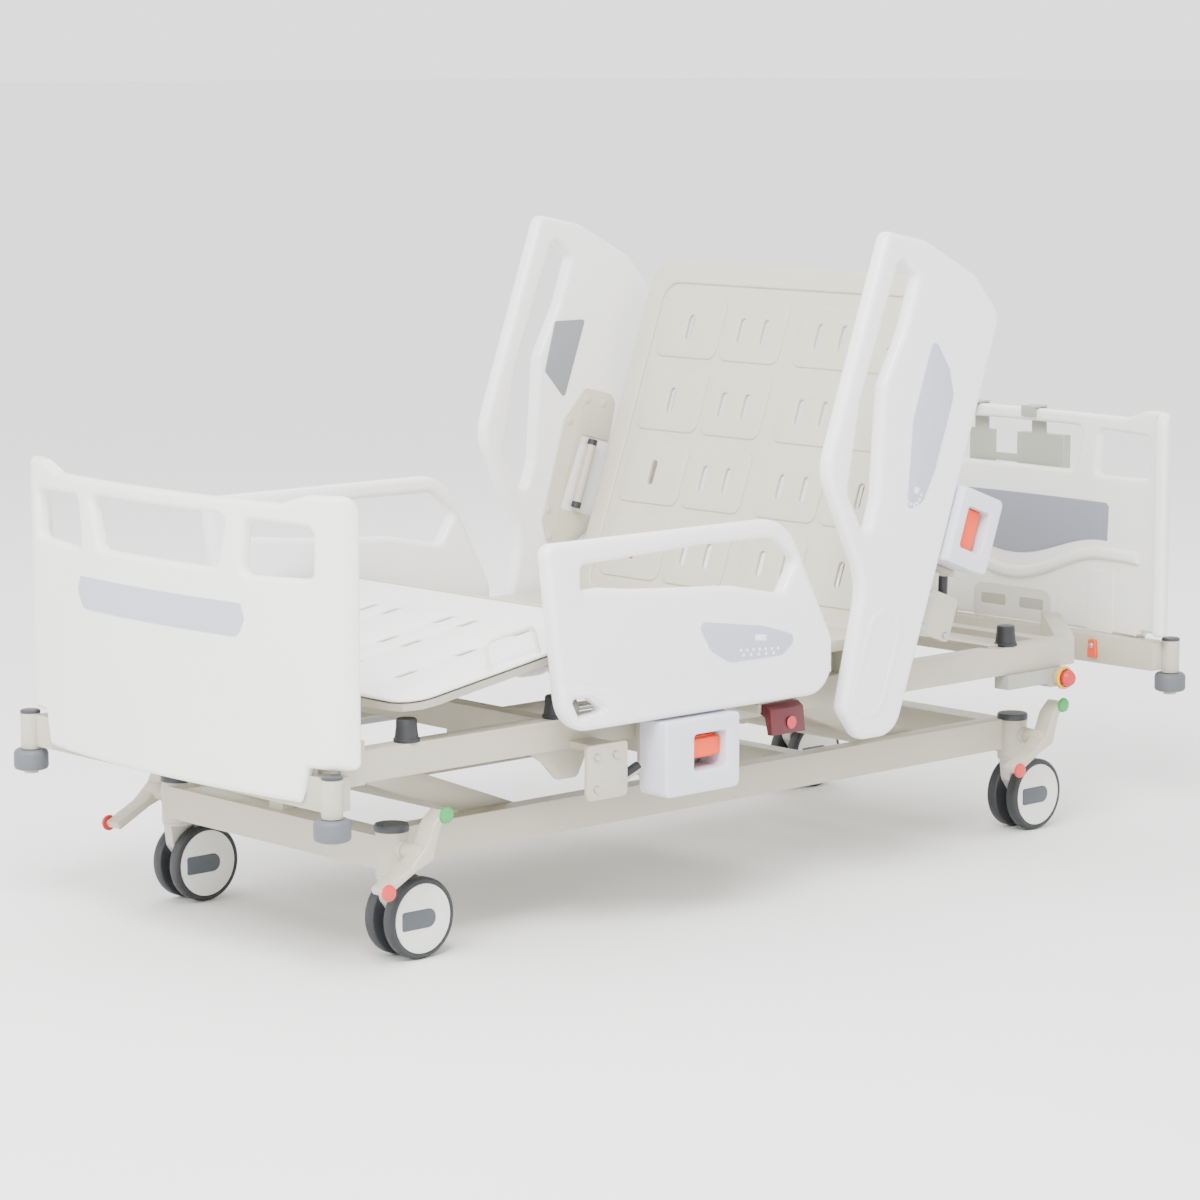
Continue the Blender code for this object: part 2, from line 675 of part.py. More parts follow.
def decks():
    low = DECK_TOP - DECK_THICKNESS
    seat = deck_panel(THIGH_HINGE_X + SEAT_FOOT_GAP, BACK_HINGE_X - SEAT_HEAD_GAP, 0.012, 0.012, low, [])
    finish(seat, "seat_deck", DECK_PLASTIC)

    rows = [(0.132, (0.078, 0.300)), (0.295, (0.078, 0.146)), (0.455, (0.078, 0.146)), (0.617, (0.078, 0.300))]
    under = BACK_HINGE_DROP - DECK_THICKNESS
    back = deck_panel(BACK_START, BACK_LENGTH, 0.012, DECK_CORNER, under, slot_outlines(rows, 1))
    finish(placed(back, TO_BACK), "back_deck", DECK_PLASTIC, origin=(BACK_HINGE_X, 0, BACK_HINGE_Z))

    under = LEG_HINGE_DROP - DECK_THICKNESS
    rows = [(0.110, (0.078, 0.146)), (0.260, (0.078, 0.146))]
    thigh = deck_panel(-THIGH_LENGTH + 0.007, -THIGH_START, 0.012, 0.012, under, slot_outlines(rows, -1))
    parts = [thigh]
    parts.append(rod((0, -HINGE_TUBE_HALF, 0), (0, HINGE_TUBE_HALF, 0), HINGE_TUBE_RADIUS))
    for side in (-1, 1):
        y = side * 0.290
        parts.append(box((-THIGH_LENGTH + 0.060, y - 0.012, -0.016), (0.004, y + 0.012, under + 0.004)))
        inner = side * (KNEE_TUBE_HALF + 0.001)
        outer = side * (KNEE_TUBE_HALF + 0.001 + LUG_THICKNESS)
        parts.append(box((-THIGH_LENGTH, inner, -0.0095), (-THIGH_LENGTH + 0.075, outer, under + 0.004)))
        parts.append(rod((-THIGH_LENGTH, inner, 0), (-THIGH_LENGTH, outer, 0), HINGE_LUG_RADIUS))
    thigh = placed(union(*parts), TO_THIGH)
    tip = (
        THIGH_HINGE_X + KNEE_LEVER * math.sin(KNEE_LEVER_LEAN),
        LEG_HINGE_Z - KNEE_LEVER * math.cos(KNEE_LEVER_LEAN),
    )
    lever = plate_xz([capsule((THIGH_HINGE_X, LEG_HINGE_Z), tip, 0.0105)], LEVER_PLATE, KNEE_ACTUATOR_Y)
    finish(union(thigh, lever), "thigh_deck", DECK_PLASTIC, origin=(THIGH_HINGE_X, 0, LEG_HINGE_Z))

    columns = (0.078, 0.146, 0.300)
    rows = [(CALF_LENGTH - 0.405, columns), (CALF_LENGTH - 0.266, columns), (CALF_LENGTH - 0.121, columns)]
    calf = deck_panel(-CALF_LENGTH, -0.004, DECK_CORNER, 0.012, under, slot_outlines(rows, -1))
    parts = [calf]
    parts.append(rod((0, -KNEE_TUBE_HALF, 0), (0, KNEE_TUBE_HALF, 0), HINGE_TUBE_RADIUS))
    for side in (-1, 1):
        y = side * 0.250
        parts.append(box((-CALF_LENGTH + 0.080, y - 0.012, -0.006), (0.004, y + 0.012, under + 0.004)))
    calf = placed(combine(parts[0], parts[1:], "UNION", "MANIFOLD"), TO_CALF)
    finish(calf, "calf_deck", CALF_PLASTIC, origin=(KNEE_X, 0, KNEE_Z))


# Back frame: a hinge tube, two long bars, cross bars, the lever, and arms for the rails.
def back_frame():
    top = BACK_HINGE_DROP - DECK_THICKNESS - GAP
    half = BACK_TUBE_WIDTH / 2
    solids = [rod((0, -HINGE_TUBE_HALF, 0), (0, HINGE_TUBE_HALF, 0), HINGE_TUBE_RADIUS)]
    for side in (-1, 1):
        y = side * BACK_TUBE_Y
        solids.append(box((-0.010, y - half, -0.020), (0.700, y + half, top)))
        for u in rail_lugs(HEAD_LINK_U):
            solids.extend(rail_lug(u, side, HEAD_LINK_V, -0.018, BACK_TUBE_Y, top - 0.002))
        solids.append(box((0.070, y, -0.016), (0.120, side * 0.4285, top - 0.002)))
    for u in (0.400, 0.680):
        solids.append(box((u - 0.016, -BACK_TUBE_Y, -0.016), (u + 0.016, BACK_TUBE_Y, top - 0.002)))
    frame = placed(union(*solids), TO_BACK)
    tip = (
        BACK_HINGE_X + BACK_LEVER * math.sin(BACK_LEVER_LEAN),
        BACK_HINGE_Z - BACK_LEVER * math.cos(BACK_LEVER_LEAN),
    )
    lever = plate_xz([capsule((BACK_HINGE_X, BACK_HINGE_Z), tip, 0.0125)], LEVER_PLATE, BACK_ACTUATOR_Y)
    finish(union(frame, lever), "back_frame", CREAM_STEEL, origin=(BACK_HINGE_X, 0, BACK_HINGE_Z))


# Side rail: a panel on a swinging link, with the link's latch housing, handle and damper.
FOOT_RAIL = [
    (-0.700, 0.752, 0.020),
    (-0.655, 0.405, 0.070),
    (0.040, 0.402, 0.060),
    (0.041, 0.510, 0.050),
    (-0.085, 0.752, 0.100),
]
FOOT_WINDOW = [
    (-0.612, 0.708, 0.012),
    (-0.612, 0.662, 0.010),
    (-0.560, 0.662, 0.010),
    (-0.480, 0.652, 0.020),
    (-0.225, 0.634, 0.030),
    (-0.098, 0.608, 0.012),
    (-0.060, 0.668, 0.014),
    (-0.120, 0.716, 0.030),
    (-0.304, 0.718, 0.030),
]
FOOT_HAND_HOLE = [(-0.638, 0.466, 0.008), (-0.592, 0.464, 0.010), (-0.552, 0.437, 0.006), (-0.616, 0.431, 0.010)]
HEAD_RAIL = [
    (-0.160, -0.007, 0.060),
    (0.700, -0.007, 0.040),
    (0.752, 0.090, 0.060),
    (0.770, 0.250, 0.100),
    (0.752, 0.366, 0.020),
    (0.268, 0.366, 0.100),
    (0.095, 0.186, 0.120),
    (-0.150, 0.160, 0.030),
    (-0.194, 0.090, 0.040),
]
HEAD_WINDOW = [
    (0.716, 0.312, 0.014),
    (0.425, 0.320, 0.060),
    (0.250, 0.292, 0.030),
    (0.178, 0.208, 0.014),
    (0.260, 0.210, 0.040),
    (0.470, 0.270, 0.040),
    (0.588, 0.252, 0.040),
    (0.696, 0.253, 0.014),
]


def rail_panel(name, side, matrix, outlines, link_along, hinge):
    panel = plate_between_y(outlines, side * RAIL_INNER_Y, side * RAIL_OUTER_Y)
    reach = LINK_HALF - LINK_LUG - 0.001
    y = side * RAIL_TOP_PIVOT_Y
    start = (link_along - reach, y, hinge)
    barrel = rod(start, (link_along + reach, y, hinge), 0.010)
    low = (link_along - reach + 0.004, y, hinge - 0.008)
    high = (link_along + reach - 0.004, side * (RAIL_INNER_Y + 0.004), hinge + 0.008)
    solid = placed(union(panel, barrel, box(low, high)), matrix)
    origin = matrix @ Vector((link_along, y, hinge))
    finish(solid, f"siderail_{name}", RAIL_PLASTIC, origin=origin)


def rail_link(name, side, matrix, along, low_pivot, hinge):
    inner = side * LINK_INNER_Y
    outer = side * LINK_OUTER_Y
    solids = [box((along - LINK_HALF, inner, low_pivot), (along + LINK_HALF, outer, hinge - 0.048))]
    y = side * RAIL_LOW_PIVOT_Y
    reach = LINK_HALF + 0.0005
    solids.append(rod((along - reach, y, low_pivot), (along + reach, y, low_pivot), 0.0110))
    top = side * RAIL_TOP_PIVOT_Y
    neck = hinge - 0.045
    skin = side * 0.0005
    for low in (along - LINK_HALF - 0.0004, along + LINK_HALF + 0.0004 - LINK_LUG):
        outline = [
            (inner + skin, hinge - 0.060),
            (outer - skin, hinge - 0.060),
            (outer - skin, hinge - 0.0125),
            (side * (RAIL_TOP_PIVOT_Y + 0.0095), hinge - 0.002),
            (side * (RAIL_TOP_PIVOT_Y - 0.0090), hinge + 0.004),
            (inner + skin, neck + 0.010),
        ]
        if side > 0:
            outline.reverse()
        solids.append(plate_yz([outline], LINK_LUG, low + LINK_LUG / 2))
        solids.append(rod((low - 0.0002, top, hinge), (low + LINK_LUG + 0.0002, top, hinge), 0.0098))
    solid = placed(union(*solids), matrix)
    origin = matrix @ Vector((along, y, low_pivot))
    finish(solid, f"siderail_link_{name}", LINK_PLASTIC, origin=origin)


def latch(name, side, matrix, low_pivot, housing, opening):
    (a0, a1, h0, h1) = housing
    (b0, b1, g0, g1) = opening
    outer = rounded([(a0, h0, 0.012), (a1, h0, 0.012), (a1, h1, 0.006), (a0, h1, 0.006)])
    window = rounded([(b0, g0, 0.008), (b1, g0, 0.008), (b1, g1, 0.008), (b0, g1, 0.008)])
    shell = plate_between_y([outer, window], side * HOUSING_INNER_Y, side * HOUSING_OUTER_Y)
    finish(placed(shell, matrix), f"latch_housing_{name}", LINK_PLASTIC)
    pin_h = g1 - 0.016
    y = side * 0.492
    grip = rounded([
        (b0 + 0.003, pin_h - 0.036, 0.006),
        (b1 - 0.003, pin_h - 0.036, 0.006),
        (b1 - 0.003, pin_h + 0.007, 0.004),
        (b0 + 0.003, pin_h + 0.007, 0.004),
    ])
    solid = union(
        plate_between_y([grip], side * 0.484, side * 0.500),
        rod((b0 + GAP, y, pin_h), (b1 - GAP, y, pin_h), 0.0035, 12),
    )
    origin = matrix @ Vector(((b0 + b1) / 2, y, pin_h))
    finish(placed(solid, matrix), f"latch_handle_{name}", LATCH_ORANGE, origin=origin)


def damper(name, side, matrix, plate_range, strut, web):
    (a0, a1, h0, h1) = plate_range
    outline = rounded([(a0, h0, 0.010), (a1, h0, 0.010), (a1, h1, 0.006), (a0, h1, 0.006)])
    (w0, w1, wh0, wh1, wy) = web
    (start, end) = strut
    y = side * 0.475
    foot = (start[0], y, start[1])
    solid = union(
        plate_between_y([outline], side * 0.486, side * 0.494),
        box((w0, side * wy, wh0), (w1, side * 0.490, wh1)),
        rod((start[0], side * 0.468, start[1]), (start[0], side * 0.490, start[1]), 0.010, 12),
        rod(foot, (end[0], y, end[1]), DAMPER_RADIUS, 12),
    )
    finish(placed(solid, matrix), f"siderail_damper_{name}", CREAM_STEEL)


def side_rails():
    same = Matrix()
    for label, side in SIDES:
        name = f"foot_{label}"
        outlines = [rounded(FOOT_RAIL), rounded(FOOT_WINDOW), rounded(FOOT_HAND_HOLE)]
        rail_panel(name, side, same, outlines, FOOT_LINK_X, FOOT_LINK_Z + FOOT_LINK_RISE)
        rail_link(name, side, same, FOOT_LINK_X, FOOT_LINK_Z, FOOT_LINK_Z + FOOT_LINK_RISE)
        latch(name, side, same, FOOT_LINK_Z, (-0.418, -0.226, 0.258, 0.3995), (-0.344, -0.260, 0.300, 0.369))
        bracket = (-0.582, -0.482, 0.270, 0.372)
        damper(name, side, same, bracket, ((-0.524, 0.282), (-0.432, 0.315)), (-0.560, -0.500, 0.358, 0.370, TUBE_Y + TUBE_WIDTH / 2 + GAP))

        name = f"head_{label}"
        outlines = [rounded(HEAD_RAIL), rounded(HEAD_WINDOW)]
        rail_panel(name, side, TO_BACK, outlines, HEAD_LINK_U, HEAD_LINK_V + HEAD_LINK_RISE)
        rail_link(name, side, TO_BACK, HEAD_LINK_U, HEAD_LINK_V, HEAD_LINK_V + HEAD_LINK_RISE)
        latch(name, side, TO_BACK, HEAD_LINK_V, (0.197, 0.350, -0.130, -0.0095), (0.232, 0.316, -0.100, -0.034))
        bracket = (0.050, 0.140, -0.110, -0.011)
        damper(name, side, TO_BACK, bracket, ((0.095, -0.095), (0.178, -0.070)), (0.072, 0.118, -0.0155, -0.0115, 0.4285 + GAP))


# End board: a bowed panel with hand windows, and a thin skirt outside the end bar.
def board_face(half, thickness, points=12):
    outer = []
    inner = []
    for k in range(points + 1):
        y = half * (2 * k / points - 1)
        x = BOARD_CROWN_X - BOARD_BOW * y * y
        outer.append((x, y))
        inner.append((x - thickness, y))
    return outer, inner


def end_board(name, end, bottom):
    outer, inner = board_face(0.420, BOARD_THICKNESS)
    wrap = [
        (1.120, BOARD_HALF_WIDTH - 0.004),
        (BOARD_WRAP_X + 0.010, BOARD_HALF_WIDTH),
        (BOARD_WRAP_X, BOARD_HALF_WIDTH - 0.010),
        (BOARD_WRAP_X + 0.006, BOARD_HALF_WIDTH - 0.026),
        (1.100, BOARD_HALF_WIDTH - 0.034),
    ]
    plan = list(outer) + wrap + list(reversed(inner)) + [(x, -y) for x, y in reversed(wrap)]
    slab = plate_xy([[Vector((end * x, y)) for x, y in plan]], 0.70, 0.65)
    half = BOARD_HALF_WIDTH + 0.002
    face = rounded([
        (-half, BOARD_WING_BOTTOM, 0.012),
        (-BOARD_SKIRT_HALF, BOARD_WING_BOTTOM, 0.0),
        (-BOARD_SKIRT_HALF, BOARD_REST_Z, 0.0),
        (BOARD_SKIRT_HALF, BOARD_REST_Z, 0.0),
        (BOARD_SKIRT_HALF, BOARD_WING_BOTTOM, 0.0),
        (half, BOARD_WING_BOTTOM, 0.012),
        (half, BOARD_CORNER_TOP, 0.030),
        (0.390, BOARD_CORNER_TOP, 0.060),
        (0.320, BOARD_TOP, 0.060),
        (-0.320, BOARD_TOP, 0.060),
        (-0.390, BOARD_CORNER_TOP, 0.060),
        (-half, BOARD_CORNER_TOP, 0.030),
    ])
    middle = rounded([(-0.176, 0.722, 0.016), (0.176, 0.722, 0.016), (0.202, 0.820, 0.016), (-0.202, 0.820, 0.016)])
    windows = [middle]
    for side in (-1, 1):
        windows.append(rounded([
            (side * 0.236, 0.716, 0.016),
            (side * 0.408, 0.722, 0.016),
            (side * 0.410, 0.812, 0.016),
            (side * 0.250, 0.816, 0.016),
        ]))
    board = combine(plate_yz([face] + windows, 0.30, end * 1.15), [slab], "INTERSECT")
    outer, inner = board_face(BOARD_SKIRT_HALF, BOARD_SKIRT)
    skirt = [Vector((end * x, y)) for x, y in list(outer) + list(reversed(inner))]
    board = union(board, plate_xy([skirt], 0.44 - bottom, (0.44 + bottom) / 2))
    finish(board, name, RAIL_PLASTIC, origin=(end * 1.17, 0, BOARD_REST_Z))


# Small controls.
def controls():
    for label, side in SIDES:
        barrel = rod((-0.117, side * 0.470, 0.385), (-0.026, side * 0.470, 0.385), 0.007, 12)
        paddle = [
            (side * 0.464, 0.389),
            (side * 0.464, 0.380),
            (side * 0.486, 0.368),
            (side * 0.494, 0.336),
            (side * 0.506, 0.336),
            (side * 0.500, 0.384),
            (side * 0.486, 0.393),
        ]
        if side < 0:
            paddle.reverse()
        solid = union(barrel, plate_yz([paddle], 0.090, -0.0715))
        finish(solid, f"cpr_lever_{label}", LEVER_RED, origin=(-0.0715, side * 0.470, 0.385))

    centre = (0.800, 0.338)
    body = union(
        box((0.774, -0.438, 0.3195), (0.826, -0.385, 0.3560)),
        rod((centre[0], -0.430, centre[1]), (centre[0], -0.447, centre[1]), 0.0185, 20),
        box((0.650, -0.430, 0.326), (0.780, -0.392, 0.3560)),
    )
    body = cut(body, rod((centre[0], -0.415, centre[1]), (centre[0], -0.46, centre[1]), 0.0085))
    finish(body, "emergency_stop_body", STOP_YELLOW)
    button = union(
        rod((centre[0], -0.424, centre[1]), (centre[0], -0.456, centre[1]), 0.0070),
        rod((centre[0], -0.4535, centre[1]), (centre[0], -0.464, centre[1]), 0.0160, 20, 0.0185),
        rod((centre[0], -0.4635, centre[1]), (centre[0], -0.472, centre[1]), 0.0185, 20, 0.0130),
    )
    finish(button, "emergency_stop_button", STOP_RED, origin=(centre[0], -0.4535, centre[1]))

    face = BOARD_CROWN_X + 0.0015
    control = union(
        box((face, -0.112, 0.717), (face + CONTROL_DEPTH, 0.021, 0.790)),
        box((face, -0.062, 0.780), (face + 0.005, -0.021, BOARD_TOP + 0.0055)),
        box((1.1495, -0.062, BOARD_TOP + 0.001), (face + 0.003, -0.021, BOARD_TOP + 0.0055)),
        box((1.1495, -0.062, 0.830), (1.1545, -0.021, BOARD_TOP + 0.0040)),
        rod((face + 0.013, -0.070, 0.725), (face + 0.013, -0.070, 0.695), 0.009, 12, 0.005),
        box((face, 0.010, 0.722), (face + 0.005, 0.130, 0.740)),
        box((face, 0.090, 0.6875), (face + 0.012, 0.160, 0.790)),
        box((face, 0.105, 0.780), (face + 0.005, 0.145, BOARD_TOP + 0.0055)),
        box((1.1440, 0.105, BOARD_TOP + 0.001), (face + 0.003, 0.145, BOARD_TOP + 0.0055)),
        box((1.1440, 0.105, 0.832), (1.1485, 0.145, BOARD_TOP + 0.0040)),
    )
    finish(control, "hand_control", CONTROL_GREY)


base_frame()
upper_frame()
for end_name, column_x in ENDS:
    for side_name, sign in SIDES:
        caster(f"{end_name}_{side_name}", column_x, sign * COLUMN_Y)
        caster_wheel(f"{end_name}_{side_name}", column_x, sign * COLUMN_Y)
        pedal(f"{end_name}_{side_name}", column_x, sign)
for end_name, end_x in (("foot", -POST_X), ("head", POST_X)):
    for side_name, sign in SIDES:
        bumper_roller(f"{end_name}_{side_name}", end_x, sign * POST_Y)
decks()
back_frame()
side_rails()
end_board("footboard", -1, FOOTBOARD_SKIRT_BOTTOM)
end_board("headboard", 1, HEADBOARD_SKIRT_BOTTOM)
controls()
lift_axis_z = LIFT_BASE_Z + LIFT_LEVER * 0.97
foot_tip = lift_arm("foot", LIFT_FOOT_X)
head_tip = lift_arm("head", LIFT_HEAD_X)
actuator("foot_lift_actuator", 0.0, lift_axis_z, COLUMN_FOOT_X + 0.0125, foot_tip[0] - 0.120, foot_tip[0], 0.015)
actuator("head_lift_actuator", 0.0, lift_axis_z, HEAD_MOUNT_X + 0.0125, head_tip[0] - 0.120, head_tip[0], 0.015)
back_tip_x = BACK_HINGE_X + BACK_LEVER * math.sin(BACK_LEVER_LEAN)
actuator("back_actuator", BACK_ACTUATOR_Y, 0.361, 0.7995, 0.480, back_tip_x, 0.019)
knee_tip_x = THIGH_HINGE_X + KNEE_LEVER * math.sin(KNEE_LEVER_LEAN)
actuator("knee_actuator", KNEE_ACTUATOR_Y, 0.357, -0.5595, -0.260, knee_tip_x, 0.015, 0.045)

for spare in list(helpers.objects):
    bpy.data.objects.remove(spare, do_unlink=True)

# The hand control makes the head end the longer one, so the whole bed moves back by half of it.
for piece in bed.objects:
    piece.location.x -= CENTRE_SHIFT
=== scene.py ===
import math

import bmesh
import bpy
from mathutils import Matrix, Vector


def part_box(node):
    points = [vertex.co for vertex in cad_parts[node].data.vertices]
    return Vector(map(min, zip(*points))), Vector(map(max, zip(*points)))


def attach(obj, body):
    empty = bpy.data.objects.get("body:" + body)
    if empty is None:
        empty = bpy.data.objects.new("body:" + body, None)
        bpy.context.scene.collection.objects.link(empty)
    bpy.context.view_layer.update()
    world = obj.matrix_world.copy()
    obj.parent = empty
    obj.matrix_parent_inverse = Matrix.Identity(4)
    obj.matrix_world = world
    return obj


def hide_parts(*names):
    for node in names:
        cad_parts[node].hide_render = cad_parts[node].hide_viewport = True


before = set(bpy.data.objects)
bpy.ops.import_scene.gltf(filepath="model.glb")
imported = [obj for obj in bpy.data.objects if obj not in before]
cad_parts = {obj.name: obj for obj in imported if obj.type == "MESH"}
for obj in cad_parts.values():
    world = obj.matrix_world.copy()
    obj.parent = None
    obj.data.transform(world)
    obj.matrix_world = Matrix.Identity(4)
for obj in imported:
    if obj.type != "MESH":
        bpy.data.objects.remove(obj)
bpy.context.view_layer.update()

# View and studio: a long lens a little above the lying surface, from the foot end's left
# corner. The bed stands on a matt pale floor under an even white sky, with one strong soft
# light above its left side and two weaker ones at the foot end and behind.
frame_low, frame_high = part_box("upper_frame")
MIDDLE = (frame_low.x + frame_high.x) / 2
LENS_MM = 112.556
SENSOR_MM = 36.0
camera_data = bpy.data.cameras.new("view")
camera_data.lens = LENS_MM
camera_data.sensor_width = SENSOR_MM
camera = bpy.data.objects.new("view", camera_data)
camera.location = (MIDDLE - 5.1192, -5.4189, 1.6115)
camera.rotation_euler = (math.radians(81.757), 0.0, math.radians(-42.849))
bpy.context.scene.collection.objects.link(camera)
bpy.context.scene.camera = camera


def linear(code):
    """A linear colour from an sRGB hex code."""
    parts = [int(code[i:i + 2], 16) / 255 for i in (1, 3, 5)]
    return [c / 12.92 if c <= 0.04045 else ((c + 0.055) / 1.055) ** 2.4 for c in parts] + [1.0]


def add(tree, kind, settings=None, links=None):
    """Adds a node with its settings, and links sockets of other nodes to its inputs."""
    node = tree.nodes.new(kind)
    for key, value in (settings or {}).items():
        if key in node.inputs:
            node.inputs[key].default_value = value
        else:
            setattr(node, key, value)
    for key, socket in (links or {}).items():
        tree.links.new(socket, node.inputs[key])
    return node


# Plastics, paints and rubber all reflect about 4 percent of the light that meets them.
PLAIN_IOR = 1.5
COAT_ROUGHNESS = 0.15
CLOUDS_PER_METRE = 6.0
GRAIN_DEPTH = 0.0004
# The Mix node's colour sockets share their names with its number sockets.
FIRST_COLOUR = 6
SECOND_COLOUR = 7
COLOUR_OUT = 2


def surface(name, colour, shade, roughness, grain_mm, bump, metallic=0.0, coat=0.0):
    """A moulded or coated surface: a faint cloudy colour, and fine grain in gloss and relief."""
    made = bpy.data.materials.new(name)
    made.use_nodes = True
    tree = made.node_tree
    shader = tree.nodes["Principled BSDF"]
    shader.inputs["Metallic"].default_value = metallic
    if not metallic:
        shader.inputs["IOR"].default_value = PLAIN_IOR
    shader.inputs["Coat Weight"].default_value = coat
    shader.inputs["Coat Roughness"].default_value = COAT_ROUGHNESS
    place = add(tree, "ShaderNodeTexCoord").outputs["Object"]
    cloud = add(tree, "ShaderNodeTexNoise", {"Scale": CLOUDS_PER_METRE, "Detail": 3.0}, {"Vector": place})
    grain = add(tree, "ShaderNodeTexNoise", {"Scale": 1000 / grain_mm, "Detail": 2.0}, {"Vector": place})
    mix = add(tree, "ShaderNodeMix", {"data_type": "RGBA"}, {"Factor": cloud.outputs["Fac"]})
    mix.inputs[FIRST_COLOUR].default_value = linear(colour)
    mix.inputs[SECOND_COLOUR].default_value = linear(shade)
    tree.links.new(mix.outputs[COLOUR_OUT], shader.inputs["Base Color"])
    gloss = add(
        tree,
        "ShaderNodeMapRange",
        {"To Min": roughness - 0.05, "To Max": roughness + 0.06},
        {"Value": grain.outputs["Fac"]},
    )
    tree.links.new(gloss.outputs["Result"], shader.inputs["Roughness"])
    relief = add(
        tree,
        "ShaderNodeBump",
        {"Strength": bump, "Distance": GRAIN_DEPTH},
        {"Height": grain.outputs["Fac"]},
    )
    tree.links.new(relief.outputs["Normal"], shader.inputs["Normal"])
    return made


# Matt paint spreads the light, so the floor stays one even pale tone under soft shadows.
floor_paint = surface("matt_studio_floor", "#F4F4F3", "#F1F1F0", 0.75, 30.0, 0.02)
FLOOR_SIZE = 400
FLOOR_GAP = 0.0005
bpy.ops.mesh.primitive_plane_add(size=FLOOR_SIZE)
floor = bpy.context.object
floor.name = "studio_floor"
floor.location.z = -FLOOR_GAP
floor.data.materials.append(floor_paint)

WORLD_STRENGTH = 2.1
AIM = Vector((0, 0, 0.5))
world = bpy.data.worlds.new("studio")
world.use_nodes = True
background = world.node_tree.nodes["Background"]
background.inputs["Color"].default_value = (1.0, 1.0, 1.0, 1.0)
background.inputs["Strength"].default_value = WORLD_STRENGTH
bpy.context.scene.world = world
for name, place, size, power in (
    ("key_panel", (-3.2, -2.4, 4.6), 2.4, 520.0),
    ("fill_panel", (-4.8, 1.5, 2.6), 3.0, 90.0),
    ("back_panel", (3.0, 3.0, 4.2), 3.0, 110.0),
):
    lamp = bpy.data.lights.new(name, "AREA")
    lamp.size = size
    lamp.energy = power
    light = bpy.data.objects.new(name, lamp)
    light.location = place
    light.rotation_euler = (AIM - Vector(place)).to_track_quat("-Z", "Y").to_euler()
    bpy.context.scene.collection.objects.link(light)

# Base, upper frame, back frame and lift arms: square and round steel tube, welded, then
# powder coated as one. The coat rolls over the tubes' corners.


def worked_out(obj):
    """The plain mesh of an object with its bevels worked out. The object itself is removed."""
    bpy.context.scene.collection.objects.link(obj)
    bpy.context.view_layer.update()
    graph = bpy.context.evaluated_depsgraph_get()
    mesh = bpy.data.meshes.new_from_object(obj.evaluated_get(graph))
    bpy.data.objects.remove(obj, do_unlink=True)
    return mesh


def eased(node, width, segments=2):
    """A copy of a part's mesh with its hard edges rolled over."""
    shape = bmesh.new()
    shape.from_mesh(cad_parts[node].data)
    bmesh.ops.remove_doubles(shape, verts=shape.verts, dist=0.00005)
    bmesh.ops.dissolve_limit(
        shape, angle_limit=math.radians(1.0), verts=shape.verts, edges=shape.edges
    )
    mesh = bpy.data.meshes.new("eased")
    shape.to_mesh(mesh)
    shape.free()
    obj = bpy.data.objects.new("eased", mesh)
    roll = obj.modifiers.new("roll", "BEVEL")
    roll.width = width
    roll.segments = segments
    roll.limit_method = "ANGLE"
    roll.angle_limit = math.radians(40)
    roll.harden_normals = False
    return worked_out(obj)


def piece(name, mesh, material, body, replaced=(), crease=38):
    """Names a mesh as a piece, finishes it, and makes it ride on its body."""
    mesh.name = name
    obj = bpy.data.objects.new(name, mesh)
    bpy.context.scene.collection.objects.link(obj)
    mesh.materials.clear()
    mesh.materials.append(material)
    mesh.shade_smooth()
    mesh.set_sharp_from_angle(angle=math.radians(crease))
    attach(obj, body)
    if replaced:
        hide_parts(*replaced)
    return obj


def refined(name, node, width, segments, material, body, crease=45):
    """A piece that stands in for one of the part's own, with its edges rolled over."""
    return piece(name, eased(node, width, segments), material, body, (node,), crease)


# Satin powder coat in a warm white: soft wide highlights and the faintest orange peel.
cream_coat = surface("cream_powder_coat_on_steel", "#BBB6A4", "#B3AE9B", 0.36, 2.5, 0.08, coat=0.15)
for node, body in (
    ("base_frame", "base"),
    ("upper_frame", "upper"),
    ("back_frame", "back"),
    ("lift_arm_foot", "lift_arm_foot"),
    ("lift_arm_head", "lift_arm_head"),
):
    refined(f"{node}_coated", node, 0.003, 2, cream_coat, body)

# Column and post caps: moulded plugs pressed over the tops of the four caster columns and
# into the four corner posts, each with a rolled rim.


def turned(profile, steps, matrix):
    """A ring or knob turned about its own Z from (radius, height) points."""
    shape = bmesh.new()
    rows = []
    for k in range(steps):
        a = 2 * math.pi * k / steps
        rows.append([shape.verts.new((r * math.cos(a), r * math.sin(a), h)) for r, h in profile])
    for one, two in zip(rows, rows[1:] + rows[:1]):
        for i in range(len(profile) - 1):
            shape.faces.new((one[i], two[i], two[i + 1], one[i + 1]))
    if profile[0] != profile[-1]:
        for end in (0, -1):
            shape.faces.new([row[end] for row in rows])
    bmesh.ops.remove_doubles(shape, verts=shape.verts, dist=0.00001)
    bmesh.ops.recalc_face_normals(shape, faces=shape.faces)
    mesh = bpy.data.meshes.new("turned")
    shape.to_mesh(mesh)
    shape.free()
    mesh.transform(matrix)
    return mesh


SIDES = (("left", -1), ("right", 1))
ENDS = (("foot", -1), ("head", 1))
COLUMNS = (("foot", -0.901), ("head", 0.790))
COLUMN_Y = 0.321
POST_X = 1.144
POST_Y = 0.455
COLUMN_CAP = [
    (0.0, 0.2405), (0.0318, 0.2405), (0.0322, 0.2425), (0.0322, 0.2500), (0.0300, 0.2535), (0.0, 0.2545),
]
POST_CAP = [
    (0.0, 0.3805), (0.0190, 0.3805), (0.0194, 0.3818), (0.0194, 0.3850), (0.0170, 0.3868), (0.0, 0.3872),
]
